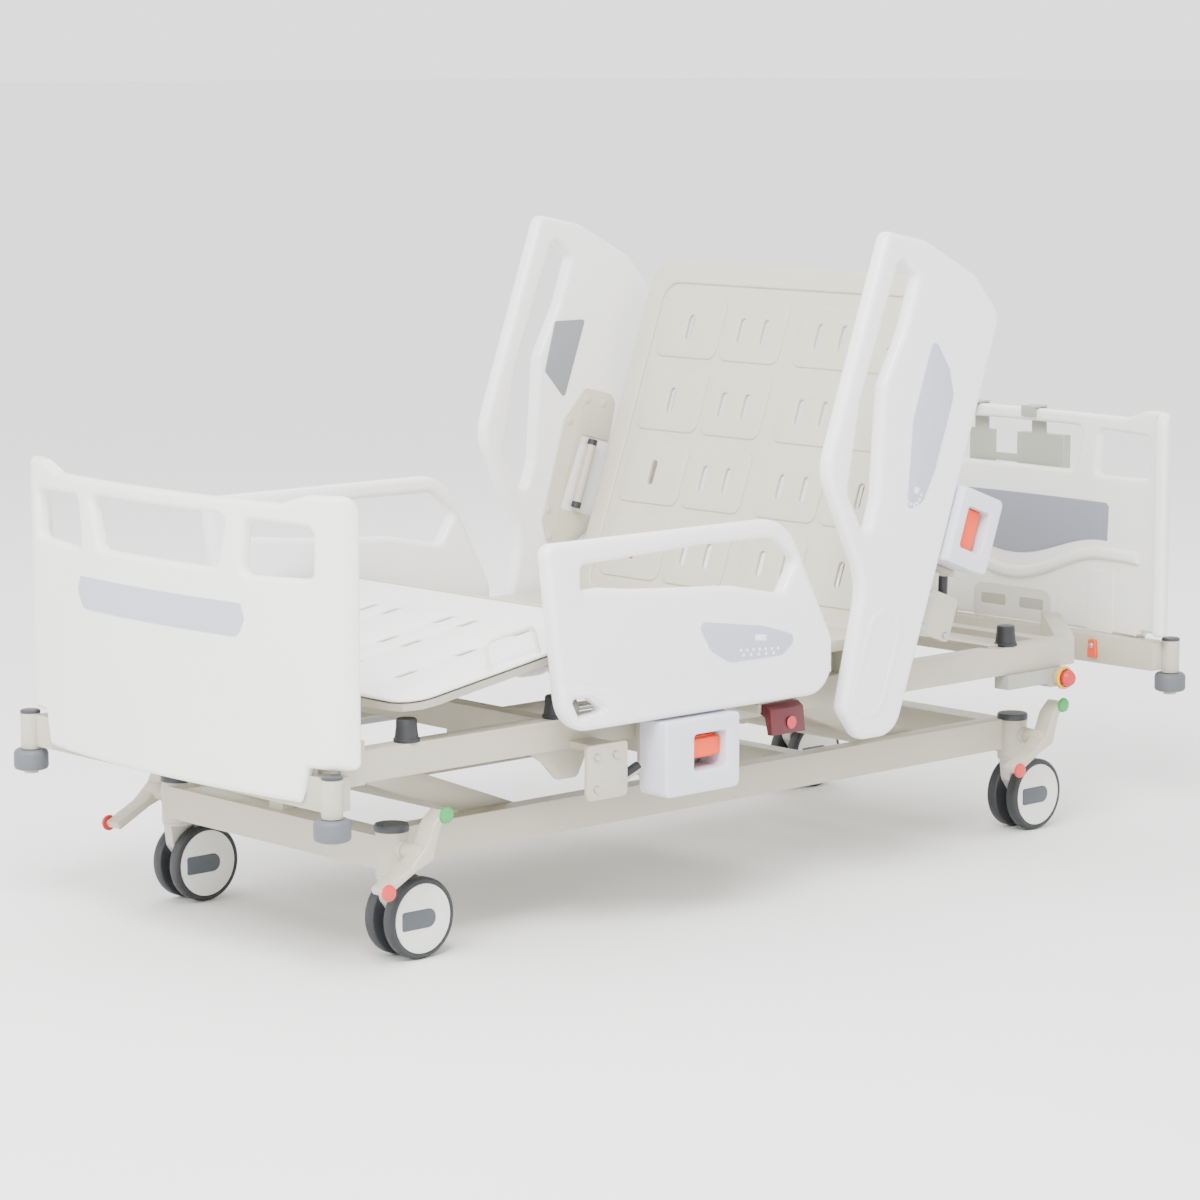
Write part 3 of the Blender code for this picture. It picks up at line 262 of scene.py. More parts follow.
# Dark moulded plastic with a fine spark texture, which breaks its highlights up.
dark_cap = surface("dark_grey_moulded_cap", "#3A3D42", "#33363B", 0.45, 1.5, 0.10)
for end, column in COLUMNS:
    for side, sign in SIDES:
        place = Matrix.Translation((MIDDLE + column, sign * COLUMN_Y, -0.004))
        cap = turned(COLUMN_CAP, 32, place)
        piece(f"column_cap_{end}_{side}", cap, dark_cap, "base")
for end, way in ENDS:
    for side, sign in SIDES:
        place = Matrix.Translation((MIDDLE + way * POST_X, sign * POST_Y, 0))
        cap = turned(POST_CAP, 28, place)
        piece(f"post_cap_{end}_{side}", cap, dark_cap, "upper")

# Cone buffers: moulded black rubber on a flanged foot, pushed into the upper frame's side
# tubes where the lying surface comes to rest.
CONE = [
    (0.0, 0.4134), (0.0235, 0.4134), (0.0240, 0.4150), (0.0236, 0.4190), (0.0215, 0.4205),
    (0.0190, 0.4400), (0.0188, 0.4520), (0.0168, 0.4550), (0.0, 0.4554),
]
CONE_Y = 0.400
# Bare rubber: nearly black, with a dull broad sheen.
black_rubber = surface("black_moulded_rubber", "#2A2B2E", "#222326", 0.55, 1.2, 0.12)
for x in (-0.930, -0.576, 0.673):
    for side, sign in SIDES:
        label = f"{int(x * -1000)}".replace("-", "m")
        cone = turned(CONE, 28, Matrix.Translation((MIDDLE + x, sign * CONE_Y, 0)))
        piece(f"buffer_{label}_{side}", cone, black_rubber, "upper")

# Bumper rollers: thick rubber rings that turn on the corner posts' spindles, so that the
# bed rolls along a wall or a door frame.
BUMPER_Z = 0.2918
BUMPER_RING = [
    (0.0088, -0.0195), (0.0260, -0.0198), (0.0310, -0.0175), (0.0330, -0.0130),
    (0.0330, 0.0110), (0.0310, 0.0165), (0.0270, 0.0195), (0.0240, 0.0198), (0.0088, 0.0180),
]
# Non-marking grey rubber: mid grey and dull, with a slightly dusty grain.
grey_rubber = surface("grey_bumper_rubber", "#606369", "#585B61", 0.55, 1.5, 0.12)
for end, way in ENDS:
    for side, sign in SIDES:
        body = f"bumper_{end}_{side}"
        place = Matrix.Translation((MIDDLE + way * POST_X, sign * POST_Y, BUMPER_Z))
        ring = turned(BUMPER_RING, 40, place)
        replaced = (f"bumper_roller_{end}_{side}",)
        piece(f"{body}_ring", ring, grey_rubber, body, replaced)

# Casters: a moulded swivel housing between two discs, on a steel axle. Each disc has a
# plastic cap with an oblong inset, pressed into a solid tread.


def rounded(corners, steps=7):
    """Points of a polygon whose corners (x, y, radius) are turned as arcs."""
    points = []
    for i, (x, y, radius) in enumerate(corners):
        here = Vector((x, y))
        if radius <= 0:
            points.append(here)
            continue
        back = (Vector(corners[i - 1][:2]) - here).normalized()
        ahead = (Vector(corners[(i + 1) % len(corners)][:2]) - here).normalized()
        half = back.angle(ahead) / 2
        reach = radius / math.tan(half)
        centre = here + (back + ahead).normalized() * (radius / math.sin(half))
        first = here + back * reach - centre
        last = here + ahead * reach - centre
        sweep = first.angle_signed(last)
        for k in range(steps + 1):
            points.append(centre + Matrix.Rotation(-sweep * k / steps, 2) @ first)
    return points


def oblong(x0, x1, y0, y1, corner, far_corner=None):
    """Corners for `rounded`. The two at x1 may have a radius of their own."""
    far = corner if far_corner is None else far_corner
    return [(x0, y0, corner), (x1, y0, far), (x1, y1, far), (x0, y1, corner)]


def wound(points, turn):
    """The same outline, running anticlockwise for turn 1 and clockwise for turn -1."""
    area = sum(a.x * b.y - b.x * a.y for a, b in zip(points, points[1:] + points[:1]))
    return points if area * turn > 0 else points[::-1]


def pad(outlines, thickness, edge, rings=3):
    """A flat moulding with rolled edges, from an outline and its windows, about its middle plane."""
    curve = bpy.data.curves.new("outline", "CURVE")
    curve.dimensions = "2D"
    curve.fill_mode = "BOTH"
    curve.extrude = thickness / 2 - edge
    curve.bevel_depth = edge
    curve.bevel_resolution = rings
    curve.offset = -edge
    for i, outline in enumerate(outlines):
        outline = wound([Vector(p) for p in outline], -1 if i else 1)
        spline = curve.splines.new("POLY")
        spline.points.add(len(outline) - 1)
        for point, (x, y) in zip(spline.points, outline):
            point.co = (x, y, 0, 1)
        spline.use_cyclic_u = True
    mesh = worked_out(bpy.data.objects.new("outline", curve))
    shape = bmesh.new()
    shape.from_mesh(mesh)
    bmesh.ops.remove_doubles(shape, verts=shape.verts, dist=0.00002)
    bmesh.ops.recalc_face_normals(shape, faces=shape.faces)
    shape.to_mesh(mesh)
    shape.free()
    return mesh


def moulding(corner_lists, thickness, edge, rings=3):
    """A pad whose outline and windows are given by their corners."""
    return pad([rounded(corners) for corners in corner_lists], thickness, edge, rings)


def joined(meshes):
    """One mesh of several."""
    shape = bmesh.new()
    for mesh in meshes:
        shape.from_mesh(mesh)
        bpy.data.meshes.remove(mesh)
    mesh = bpy.data.meshes.new("joined")
    shape.to_mesh(mesh)
    shape.free()
    return mesh


def side_on(place, sign):
    """Where a turned piece stands with its Z pointing out through the side of that sign."""
    return Matrix.Translation(place) @ Matrix.Rotation(math.radians(-90 * sign), 4, "X")


AXLE_TRAIL = 0.040
AXLE_Z = 0.075
TREAD = [
    (0.006, 0.0132), (0.0680, 0.0132), (0.0725, 0.0145), (0.0748, 0.0180), (0.0748, 0.0340),
    (0.0730, 0.0375), (0.0695, 0.0395), (0.0655, 0.0398), (0.0650, 0.0380), (0.006, 0.0375),
]
WHEEL_CAP = [
    (0.004, 0.0370), (0.0640, 0.0372), (0.0638, 0.0392), (0.0600, 0.0402), (0.0300, 0.0408), (0.004, 0.0410),
]
INSET = oblong(-0.050, 0.028, -0.0175, 0.0175, 0.005, 0.017)
INSET_Y = 0.0402
# Nylon mouldings: the housing is satin, the cap a little glossier and cleaner.
caster_shell = surface("pale_grey_caster_moulding", "#BDBBB2", "#B3B1A8", 0.42, 1.5, 0.08)
wheel_cap = surface("off_white_wheel_cap", "#E6E5E0", "#DEDDD8", 0.35, 1.5, 0.06)
# Polyurethane: a black tread that has gone slightly matt with rolling.
tread = surface("black_polyurethane_tread", "#2E3034", "#26282B", 0.50, 1.0, 0.15)
# Moulded inset: a flat slate that reads as a dark bar on the cap.
inset_grey = surface("slate_wheel_inset", "#4E535A", "#454A51", 0.42, 1.2, 0.08)
for end, column in COLUMNS:
    for side, sign in SIDES:
        name = f"{end}_{side}"
        swivel = f"caster_swivel_{name}"
        body = f"caster_{name}"
        refined(f"caster_housing_{name}", swivel, 0.0025, 2, caster_shell, body)
        axle = Vector((MIDDLE + column + AXLE_TRAIL, sign * COLUMN_Y, AXLE_Z))
        tyres = []
        caps = []
        insets = []
        for face in (-1, 1):
            tyres.append(turned(TREAD, 56, side_on(axle, face)))
            caps.append(turned(WHEEL_CAP, 48, side_on(axle, face)))
            inset = moulding([INSET], 0.004, 0.0012, 2)
            inset.transform(side_on(axle + Vector((0, face * INSET_Y, 0.0)), -1))
            insets.append(inset)
        body = f"wheel_{name}"
        replaced = (f"caster_wheel_{name}",)
        piece(f"tyres_{name}", joined(tyres), tread, body, replaced)
        piece(f"wheel_caps_{name}", joined(caps), wheel_cap, body)
        piece(f"wheel_insets_{name}", joined(insets), inset_grey, body)

# Brake pedals: a bent flat bar on a hub at each column, coated like the frame. A red pad to
# lock and a green pad to steer are fixed at its two ends.
FIXED = Matrix.Translation((MIDDLE, 0, 0))


def upright(mesh, y, matrix):
    """Stands a flat drawing up in a section's own X and Z, at y."""
    stand = Matrix(((1, 0, 0, 0), (0, 0, -1, y), (0, 1, 0, 0), (0, 0, 0, 1)))
    mesh.transform(matrix @ stand)
    return mesh


PEDAL_Y = 0.400
PEDAL_Z = 0.206
PEDAL_BAR = [
    (-0.100, -0.050, 0.005), (-0.094, -0.064, 0.005), (-0.022, -0.026, 0.030), (0.016, -0.012, 0.014),
    (0.034, 0.046, 0.030), (0.054, 0.066, 0.005), (0.043, 0.077, 0.005), (0.016, 0.054, 0.030),
    (0.000, 0.016, 0.020), (-0.034, -0.016, 0.030),
]
HUB_Y = 0.3635
HUB = [(0.0, 0.0), (0.0155, 0.0), (0.0160, 0.002), (0.0160, 0.047), (0.0140, 0.050), (0.0, 0.051)]
KNOB_Y = 0.4195
KNOB = [(0.0, 0.0), (0.0150, 0.0), (0.0155, 0.002), (0.0140, 0.006), (0.0090, 0.0085), (0.0, 0.0090)]
# Glossy coloured plastic: clear strong colours with small bright highlights.
brake_red = surface("red_moulded_pad", "#D93A38", "#CC3331", 0.35, 1.0, 0.06)
brake_green = surface("green_moulded_pad", "#2FA552", "#299649", 0.35, 1.0, 0.06)
for end, column in COLUMNS:
    for side, sign in SIDES:
        name = f"{end}_{side}"
        body = f"pedal_{name}"
        outline = [(column + x, PEDAL_Z + z, radius) for x, z, radius in PEDAL_BAR]
        bar = upright(moulding([outline], 0.040, 0.004), sign * PEDAL_Y, FIXED)
        hub = turned(HUB, 28, side_on((MIDDLE + column, sign * HUB_Y, PEDAL_Z), sign))
        replaced = (f"brake_pedal_{name}",)
        piece(f"pedal_bar_{name}", joined([bar, hub]), cream_coat, body, replaced)
        for label, paint, x, z, slot in (
            ("lock", brake_red, -0.0905, -0.0545, "stop_red"),
            ("steer", brake_green, 0.0440, 0.0670, "deck_plastic"),
        ):
            place = (MIDDLE + column + x, sign * KNOB_Y, PEDAL_Z + z)
            knob = turned(KNOB, 28, side_on(place, sign))
            piece(f"pedal_{label}_{name}", knob, paint, body)

# Back panel and thigh panel: pressed steel sheet with pairs of slots. A raised border runs
# round each panel, and shallow pillows stand round the slots.
DECK_HALF = 0.450
BACK_HINGE = Matrix.Translation((MIDDLE + 0.270, 0, 0.450))
BACK = BACK_HINGE @ Matrix.Rotation(math.radians(-70), 4, "Y")
THIGH_TILT = math.radians(15)
THIGH_LENGTH = 0.36
THIGH_X = MIDDLE - 0.075
THIGH_Z = 0.455
THIGH = Matrix.Translation((THIGH_X, 0, THIGH_Z)) @ Matrix.Rotation(THIGH_TILT, 4, "Y")
SLOT_STEPS = 8


def slot_outline(along, y, reach=0.0185, half=0.0080):
    """A slot with round ends, lying along the section."""
    points = []
    for way in (1, -1):
        for k in range(SLOT_STEPS + 1):
            a = math.pi * k / SLOT_STEPS - way * math.pi / 2
            points.append(Vector((along + way * reach + half * math.cos(a), y + half * math.sin(a))))
    return points


def slot_places(rows):
    """(x, y) of every slot, from rows of an x and the distances out from the middle line."""
    return [(along, sign * y) for along, columns in rows for y in columns for sign in (-1, 1)]


def pressed_panel(start, end, corner, far_corner, top, rows, pillows, matrix):
    """A sheet with a rolled edge, a raised border, and pillows with their slots."""
    edge = 0.006
    rim = 0.046
    hinge_rim = 0.02
    places = slot_places(rows)
    outline = rounded(oblong(start, end, -DECK_HALF, DECK_HALF, corner, far_corner))
    inside_edge = rounded(oblong(
        start + edge, end - edge, -DECK_HALF + edge, DECK_HALF - edge, corner * 0.8, far_corner * 0.9,
    ))
    inside_rim = rounded(oblong(
        start + hinge_rim, end - rim, -DECK_HALF + rim, DECK_HALF - rim, 0.03, 0.04,
    ))
    layers = [
        (pad([outline] + [slot_outline(x, y) for x, y in places], 0.005, 0.0015), 0.0080),
        (pad([outline, inside_edge], 0.0235, 0.0025), 0.01195),
        (pad([outline, inside_rim], 0.010, 0.0045, 4), 0.005),
    ]
    for x0, x1, y0, y1 in pillows:
        slots = [slot_outline(x, y) for x, y in places if x0 < x < x1 and y0 < y < y1]
        pillow = rounded(oblong(x0, x1, y0, y1, 0.022))
        layers.append((pad([pillow] + slots, 0.0075, 0.0034, 4), 0.00575))
    for mesh, depth in layers:
        mesh.transform(Matrix.Translation((0, 0, top - depth)))
    mesh = joined([mesh for mesh, depth in layers])
    mesh.transform(matrix)
    return mesh


def sunk(node, matrix, top, lower):
    """A part's own mesh, with all that stands above `top` in its section brought to `lower`."""
    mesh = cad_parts[node].data.copy()
    mesh.transform(matrix.inverted())
    for vert in mesh.vertices:
        if vert.co.z > top:
            vert.co.z = lower
    mesh.transform(matrix)
    return mesh


INNER_SLOTS = (0.078, 0.146)
ALL_SLOTS = (0.078, 0.146, 0.300)
PILLOW_COLUMNS = ((-0.385, -0.205), (-0.195, -0.020), (0.020, 0.195), (0.205, 0.385))
BACK_ROWS = (0.132, 0.295, 0.455, 0.617)
THIGH_ROWS = (-0.110, -0.260)
# Powder-coated sheet: the frame's warm white, lighter, and softly glossy over the pressings.
sheet_coat = surface("cream_coated_pressed_sheet", "#C9C5B4", "#C1BDAB", 0.40, 2.0, 0.10)
pillows = [(x - 0.068, x + 0.068, y0, y1) for x in BACK_ROWS for y0, y1 in PILLOW_COLUMNS]
rows = [(x, ALL_SLOTS) for x in BACK_ROWS]
mesh = pressed_panel(0.015, 0.758, 0.012, 0.060, 0.040, rows, pillows, BACK)
piece("back_panel_sheet", mesh, sheet_coat, "back", ("back_deck",))
pillows = [(x - 0.060, x + 0.060, y0, y1) for x in THIGH_ROWS for y0, y1 in PILLOW_COLUMNS]
rows = [(x, INNER_SLOTS) for x in THIGH_ROWS]
mesh = pressed_panel(-0.353, -0.012, 0.012, 0.012, 0.035, rows, pillows, THIGH)
piece("thigh_panel_sheet", mesh, sheet_coat, "thigh")
mesh = sunk("thigh_deck", THIGH, 0.030, 0.028)
piece("thigh_hinge_parts", mesh, sheet_coat, "thigh", ("thigh_deck",), 45)

# Lower leg panel and seat panel: the leg panel is one white moulding with slots, on ribs
# that show through them; the seat panel is a plain coated sheet bolted to the frame.
KNEE = (
    THIGH_X - THIGH_LENGTH * math.cos(THIGH_TILT),
    0,
    THIGH_Z + THIGH_LENGTH * math.sin(THIGH_TILT),
)
CALF = Matrix.Translation(KNEE) @ Matrix.Rotation(math.radians(-9.34), 4, "Y")
CALF_LENGTH = 0.545
# Clean moulded white, satin, a step brighter than the coated sheets beside it.
white_sheet = surface("white_moulded_leg_panel", "#EFEFEE", "#E8E8E6", 0.38, 2.0, 0.08)
# The ribs are the same plastic in shade, greyer, so that the slots read as openings.
shaded_ribs = surface("grey_ribbed_underside", "#A9A597", "#A09C8D", 0.50, 2.0, 0.10)
rows = [(-CALF_LENGTH + x, ALL_SLOTS) for x in (0.405, 0.266, 0.121)]
outline = rounded(oblong(-CALF_LENGTH, -0.004, -DECK_HALF, DECK_HALF, 0.060, 0.012))
mesh = pad([outline] + [slot_outline(x, y) for x, y in slot_places(rows)], 0.008, 0.0038, 4)
mesh.transform(CALF @ Matrix.Translation((0, 0, 0.031)))
piece("leg_panel_sheet", mesh, white_sheet, "calf")
mesh = sunk("calf_deck", CALF, 0.030, 0.024)
piece("leg_panel_ribs", mesh, shaded_ribs, "calf", ("calf_deck",), 45)
mesh = moulding([oblong(-0.058, 0.228, -DECK_HALF, DECK_HALF, 0.012)], 0.024, 0.004)
mesh.transform(FIXED @ Matrix.Translation((0, 0, 0.478)))
piece("seat_panel_sheet", mesh, sheet_coat, "upper", ("seat_deck",))

# Mattress retainers: round wire bent into a low bow, welded to each edge of the lower leg
# panel, and coated.


def wire(points, radius, matrix):
    """A round bar through the points, with flat ends."""
    curve = bpy.data.curves.new("wire", "CURVE")
    curve.dimensions = "3D"
    curve.bevel_depth = radius
    curve.bevel_resolution = 3
    curve.use_fill_caps = True
    spline = curve.splines.new("POLY")
    spline.points.add(len(points) - 1)
    for point, co in zip(spline.points, points):
        point.co = (*co, 1)
    mesh = worked_out(bpy.data.objects.new("wire", curve))
    mesh.transform(matrix)
    return mesh


RETAINER_Y = 0.440
RETAINER = [(-0.225, 0.030, 0), (-0.232, 0.088, 0.016), (-0.350, 0.088, 0.016), (-0.343, 0.030, 0)]
# Smooth white coating on thin wire: a fine bright line along its top.
bright_wire = surface("white_coated_wire", "#E9E8E4", "#E1E0DC", 0.30, 2.0, 0.05)
for side, sign in SIDES:
    points = [(x, sign * RETAINER_Y, z) for x, z in rounded(RETAINER, 6)]
    mesh = wire(points, 0.004, CALF)
    piece(f"mattress_retainer_{side}", mesh, bright_wire, "calf")

# Side rails: four blow-moulded hollow panels with fat rolled edges and a long hand window.
# The outer face has a tinted plate with low keys on it, and raised trim moulded in: round a
# corner hole on the foot rails, and round a scoop on the head rails.
RAIL_Y = 0.4975
PLATE_Y = 0.5155
DISPLAY_Y = 0.5165
KEY_Y = 0.5162
KEY = [(0.0, 0.0), (0.0034, 0.0), (0.0032, 0.0006), (0.0, 0.0007)]
FOOT_RAIL = [
    (-0.700, 0.752, 0.020), (-0.655, 0.405, 0.070), (0.040, 0.402, 0.060),
    (0.041, 0.510, 0.050), (-0.085, 0.752, 0.100),
]
FOOT_WINDOW = [
    (-0.612, 0.708, 0.012), (-0.612, 0.662, 0.010), (-0.560, 0.662, 0.010), (-0.480, 0.652, 0.020),
    (-0.225, 0.634, 0.030), (-0.098, 0.608, 0.012), (-0.060, 0.668, 0.014), (-0.120, 0.716, 0.030),
    (-0.304, 0.718, 0.030),
]
FOOT_HAND_HOLE = [
    (-0.638, 0.466, 0.008), (-0.592, 0.464, 0.010), (-0.552, 0.437, 0.006), (-0.616, 0.431, 0.010),
]
FOOT_INLAY = [
    (-0.327, 0.578, 0.010), (-0.150, 0.552, 0.030), (-0.058, 0.524, 0.012),
    (-0.100, 0.492, 0.030), (-0.240, 0.492, 0.040), (-0.290, 0.520, 0.020),
]
FOOT_CORNER = [
    (-0.660, 0.497, 0.010), (-0.545, 0.477, 0.030), (-0.486, 0.455, 0.030),
    (-0.470, 0.412, 0.004), (-0.646, 0.414, 0.045),
]
FOOT_CORNER_HOLE = [
    (-0.646, 0.474, 0.008), (-0.590, 0.471, 0.010), (-0.542, 0.437, 0.006), (-0.620, 0.425, 0.010),
]
FOOT_DISPLAY = [
    (-0.174, 0.527, 0.001), (-0.145, 0.5235, 0.001), (-0.145, 0.535, 0.001), (-0.174, 0.5385, 0.001),
]
FOOT_KEYS = [(-0.212 + 0.0165 * k, 0.5125 - 0.0011 * k) for k in range(7)]
FOOT_KEYS += [(-0.205 + 0.0200 * k, 0.5025 - 0.0011 * k) for k in range(5)]
HEAD_RAIL = [
    (-0.160, -0.007, 0.060), (0.700, -0.007, 0.040), (0.752, 0.090, 0.060), (0.770, 0.250, 0.100),
    (0.752, 0.366, 0.020), (0.268, 0.366, 0.100), (0.095, 0.186, 0.120), (-0.150, 0.160, 0.030),
    (-0.194, 0.090, 0.040),
]
HEAD_WINDOW = [
    (0.716, 0.312, 0.014), (0.425, 0.320, 0.060), (0.250, 0.292, 0.030), (0.178, 0.208, 0.014),
    (0.260, 0.210, 0.040), (0.470, 0.270, 0.040), (0.588, 0.252, 0.040), (0.696, 0.253, 0.014),
]
HEAD_INLAY = [
    (0.602, 0.171, 0.012), (0.555, 0.105, 0.030), (0.510, 0.075, 0.030), (0.360, 0.075, 0.030),
    (0.290, 0.086, 0.020), (0.262, 0.124, 0.010), (0.432, 0.170, 0.050),
]
SCOOP_MIDDLE = 0.0985
HEAD_SCOOP = oblong(-0.150, 0.070, 0.0485, 0.1485, 0.049)
HEAD_SCOOP_HOLE = [
    (x * 0.86 - 0.0056, SCOOP_MIDDLE + (z - SCOOP_MIDDLE) * 0.72, radius * 0.70)
    for x, z, radius in HEAD_SCOOP
]
HEAD_DISPLAY = oblong(0.300, 0.312, 0.106, 0.118, 0.001)
DIAL = 0.022
HEAD_KEYS = [
    (0.298 + DIAL * math.cos(0.45 * k + 1.7), 0.118 + DIAL * math.sin(0.45 * k + 1.7)) for k in range(8)
]
# Blow-moulded polyethylene: cool white with a faint glossy skin over a soft uneven surface.
rail_white = surface("white_blow_moulded_rail", "#F1F1F2", "#EAEAEC", 0.32, 2.5, 0.10, coat=0.1)
# Printed film: flat, smooth and a little glossier than the moulding round it.
pale_plate = surface("grey_blue_inlay_film", "#B9BBC9", "#B1B3C2", 0.35, 1.5, 0.04)
# Screen print: flat white marks with hardly any gloss.
key_print = surface("white_key_print", "#F4F4F6", "#EDEDF0", 0.45, 1.0, 0.02)
for end, matrix, shell, inlay, trim, display, keys in (
    (
        "foot", FIXED, [FOOT_RAIL, FOOT_WINDOW, FOOT_HAND_HOLE], FOOT_INLAY,
        ("corner", [FOOT_CORNER, FOOT_CORNER_HOLE], 0.0035, 0.0016, 0.5148), FOOT_DISPLAY, FOOT_KEYS,
    ),
    (
        "head", BACK, [HEAD_RAIL, HEAD_WINDOW], HEAD_INLAY,
        ("scoop", [HEAD_SCOOP, HEAD_SCOOP_HOLE], 0.0036, 0.0017, 0.5146), HEAD_DISPLAY, HEAD_KEYS,
    ),
):
    for side, sign in SIDES:
        name = f"{end}_{side}"
        body = f"rail_{name}"
        slot = "white_rail_plastic"
        mesh = upright(moulding(shell, 0.035, 0.013, 5), sign * RAIL_Y, matrix)
        piece(f"rail_shell_{name}", mesh, rail_white, body, (f"siderail_{name}",))
        mesh = upright(moulding([inlay], 0.002, 0.0006, 2), sign * PLATE_Y, matrix)
        piece(f"rail_inlay_{name}", mesh, pale_plate, body)
        label, outlines, thickness, edge, y = trim
        mesh = upright(moulding(outlines, thickness, edge, 3), sign * y, matrix)
        piece(f"rail_{label}_{name}", mesh, rail_white, body)
        marks = [upright(moulding([display], 0.0012, 0.0003, 1), sign * DISPLAY_Y, matrix)]
        marks += [turned(KEY, 16, matrix @ side_on((x, sign * KEY_Y, z), sign)) for x, z in keys]
        piece(f"rail_keys_{name}", joined(marks), key_print, body)

# Head rails' inner side: a cut steel bracket with round bosses is screwed to the panel, a
# hinge barrel runs along it between two bushes, and a slate plate lies above it.
BRACKET_Y = 0.4782
BRACKET = [
    (0.445, 0.122, 0.014), (0.454, 0.046, 0.010), (0.440, 0.028, 0.010), (0.355, 0.018, 0.004),
    (0.348, 0.098, 0.006), (0.180, 0.106, 0.006), (0.191, 0.014, 0.004), (0.160, 0.012, 0.010),
    (0.072, 0.092, 0.014), (0.144, 0.146, 0.012), (0.367, 0.157, 0.012), (0.400, 0.142, 0.012),
]
BOSS_Y = 0.4763
BOSS = [(0.0, 0.0), (0.0090, 0.0), (0.0085, 0.0012), (0.0050, 0.0026), (0.0, 0.0028)]
BOSS_PLACES = ((0.423, 0.108), (0.429, 0.060), (0.365, 0.142), (0.170, 0.138), (0.115, 0.116))
BARREL_Y = 0.4665
BARREL_V = 0.072
BUSH_LENGTH = 0.012
INNER_Y = 0.4795
INNER_PLATE = [(0.5535, 0.252, 0.006), (0.583, 0.171, 0.006), (0.407, 0.1715, 0.006), (0.445, 0.244, 0.008)]
# The same film as outside in a darker slate, flat and smooth.
inner_slate = surface("slate_grey_inlay_film", "#85888F", "#7D8087", 0.35, 1.5, 0.04)
for side, sign in SIDES:
    name = f"head_{side}"
    body = f"rail_{name}"
    mesh = upright(moulding([BRACKET], 0.004, 0.0012, 2), sign * BRACKET_Y, BACK)
    piece(f"rail_bracket_{name}", mesh, sheet_coat, body)
    bosses = [turned(BOSS, 20, BACK @ side_on((x, sign * BOSS_Y, z), -sign)) for x, z in BOSS_PLACES]
    piece(f"rail_bracket_bosses_{name}", joined(bosses), sheet_coat, body)
    y = sign * BARREL_Y
    mesh = wire([(0.203, y, BARREL_V), (0.334, y, BARREL_V)], 0.0095, BACK)
    piece(f"rail_hinge_barrel_{name}", mesh, cream_coat, body)
    bushes = [
        wire([(x, y, BARREL_V), (x + BUSH_LENGTH, y, BARREL_V)], 0.0105, BACK)
        for x in (0.193, 0.332)
    ]
    piece(f"rail_hinge_bushes_{name}", joined(bushes), black_rubber, body)
    mesh = upright(moulding([INNER_PLATE], 0.002, 0.0006, 2), sign * INNER_Y, BACK)
    piece(f"rail_inner_plate_{name}", mesh, inner_slate, body)

# Rail links and latches: a coated casting swings each rail, under a moulded housing that is
# open at the front for a pull. The pull is a moulding clipped to the latch lever.
PULL_Y = 0.5030
FOOT_GRIP = oblong(-0.3425, -0.2615, 0.3220, 0.3570, 0.004)
HEAD_GRIP = oblong(0.2335, 0.3145, -0.0920, -0.0460, 0.004)
# Moulded housing in a pale lavender, satin, with wide soft edges that catch the light.
lavender = surface("pale_lavender_moulding", "#DADBE5", "#D2D3DE", 0.36, 1.5, 0.08)
# Signal orange plastic: saturated and fairly glossy, the brightest colour on the bed.
orange = surface("orange_moulded_pull", "#FF4D12", "#F5440A", 0.35, 1.0, 0.06)
for end, grip, matrix in (("foot", FOOT_GRIP, FIXED), ("head", HEAD_GRIP, BACK)):
    for side, sign in SIDES:
        name = f"{end}_{side}"
        body = f"rail_link_{name}"
        slot = "lavender_link_plastic"
        refined(f"link_casting_{name}", f"siderail_link_{name}", 0.0025, 2, cream_coat, body)
        refined(f"latch_shell_{name}", f"latch_housing_{name}", 0.010, 4, lavender, body, 60)
        pull = upright(moulding([grip], 0.018, 0.0030, 3), sign * PULL_Y, matrix)
        handle = f"latch_handle_{name}"
        mesh = joined([pull, eased(handle, 0.0025, 3)])
        piece(f"latch_pull_{name}_grip", mesh, orange, f"latch_{name}", (handle,), 60)

# Rail dampers: a cut plate bolted to the frame by each rail link, with a gas strut on it
# that slows the rail as it drops.
STRUT_Y = 0.475
BOLT_Y = 0.4940
BOLT_HEAD = [(0.0, 0.0), (0.0070, 0.0), (0.0072, 0.001), (0.0060, 0.0036), (0.0, 0.0044)]
# Painted strut tube: black and satin, with one long highlight.
satin_black = surface("satin_black_strut", "#222326", "#1B1C1F", 0.35, 1.0, 0.05)
# Zinc plate: bright metal, a little clouded.
zinc = surface("zinc_plated_fastener", "#C9CBCD", "#AEB1B4", 0.28, 1.0, 0.05, metallic=1.0)
for side, sign in SIDES:
    for end, matrix, body, strut, bolts in (
        (
            "foot", FIXED, "upper", ((-0.524, 0.283), (-0.436, 0.316)),
            ((-0.559, 0.350), (-0.559, 0.290), (-0.512, 0.350)),
        ),
        (
            "head", BACK, "back", ((0.095, -0.095), (0.178, -0.070)),
            ((0.062, -0.024), (0.062, -0.096), (0.128, -0.024)),
        ),
    ):
        name = f"{end}_{side}"
        node = f"siderail_damper_{name}"
        refined(f"damper_bracket_{name}", node, 0.0015, 2, cream_coat, body)
        y = sign * STRUT_Y
        (x0, z0), (x1, z1) = strut
        tube = wire([(x0 + 0.004, y, z0 + 0.001), (x1 - 0.002, y, z1)], 0.0096, matrix)
        piece(f"damper_strut_{name}", tube, satin_black, body)
        heads = [turned(BOLT_HEAD, 20, matrix @ side_on((x, sign * BOLT_Y, z), sign)) for x, z in bolts]
        piece(f"damper_bolts_{name}", joined(heads), zinc, body)

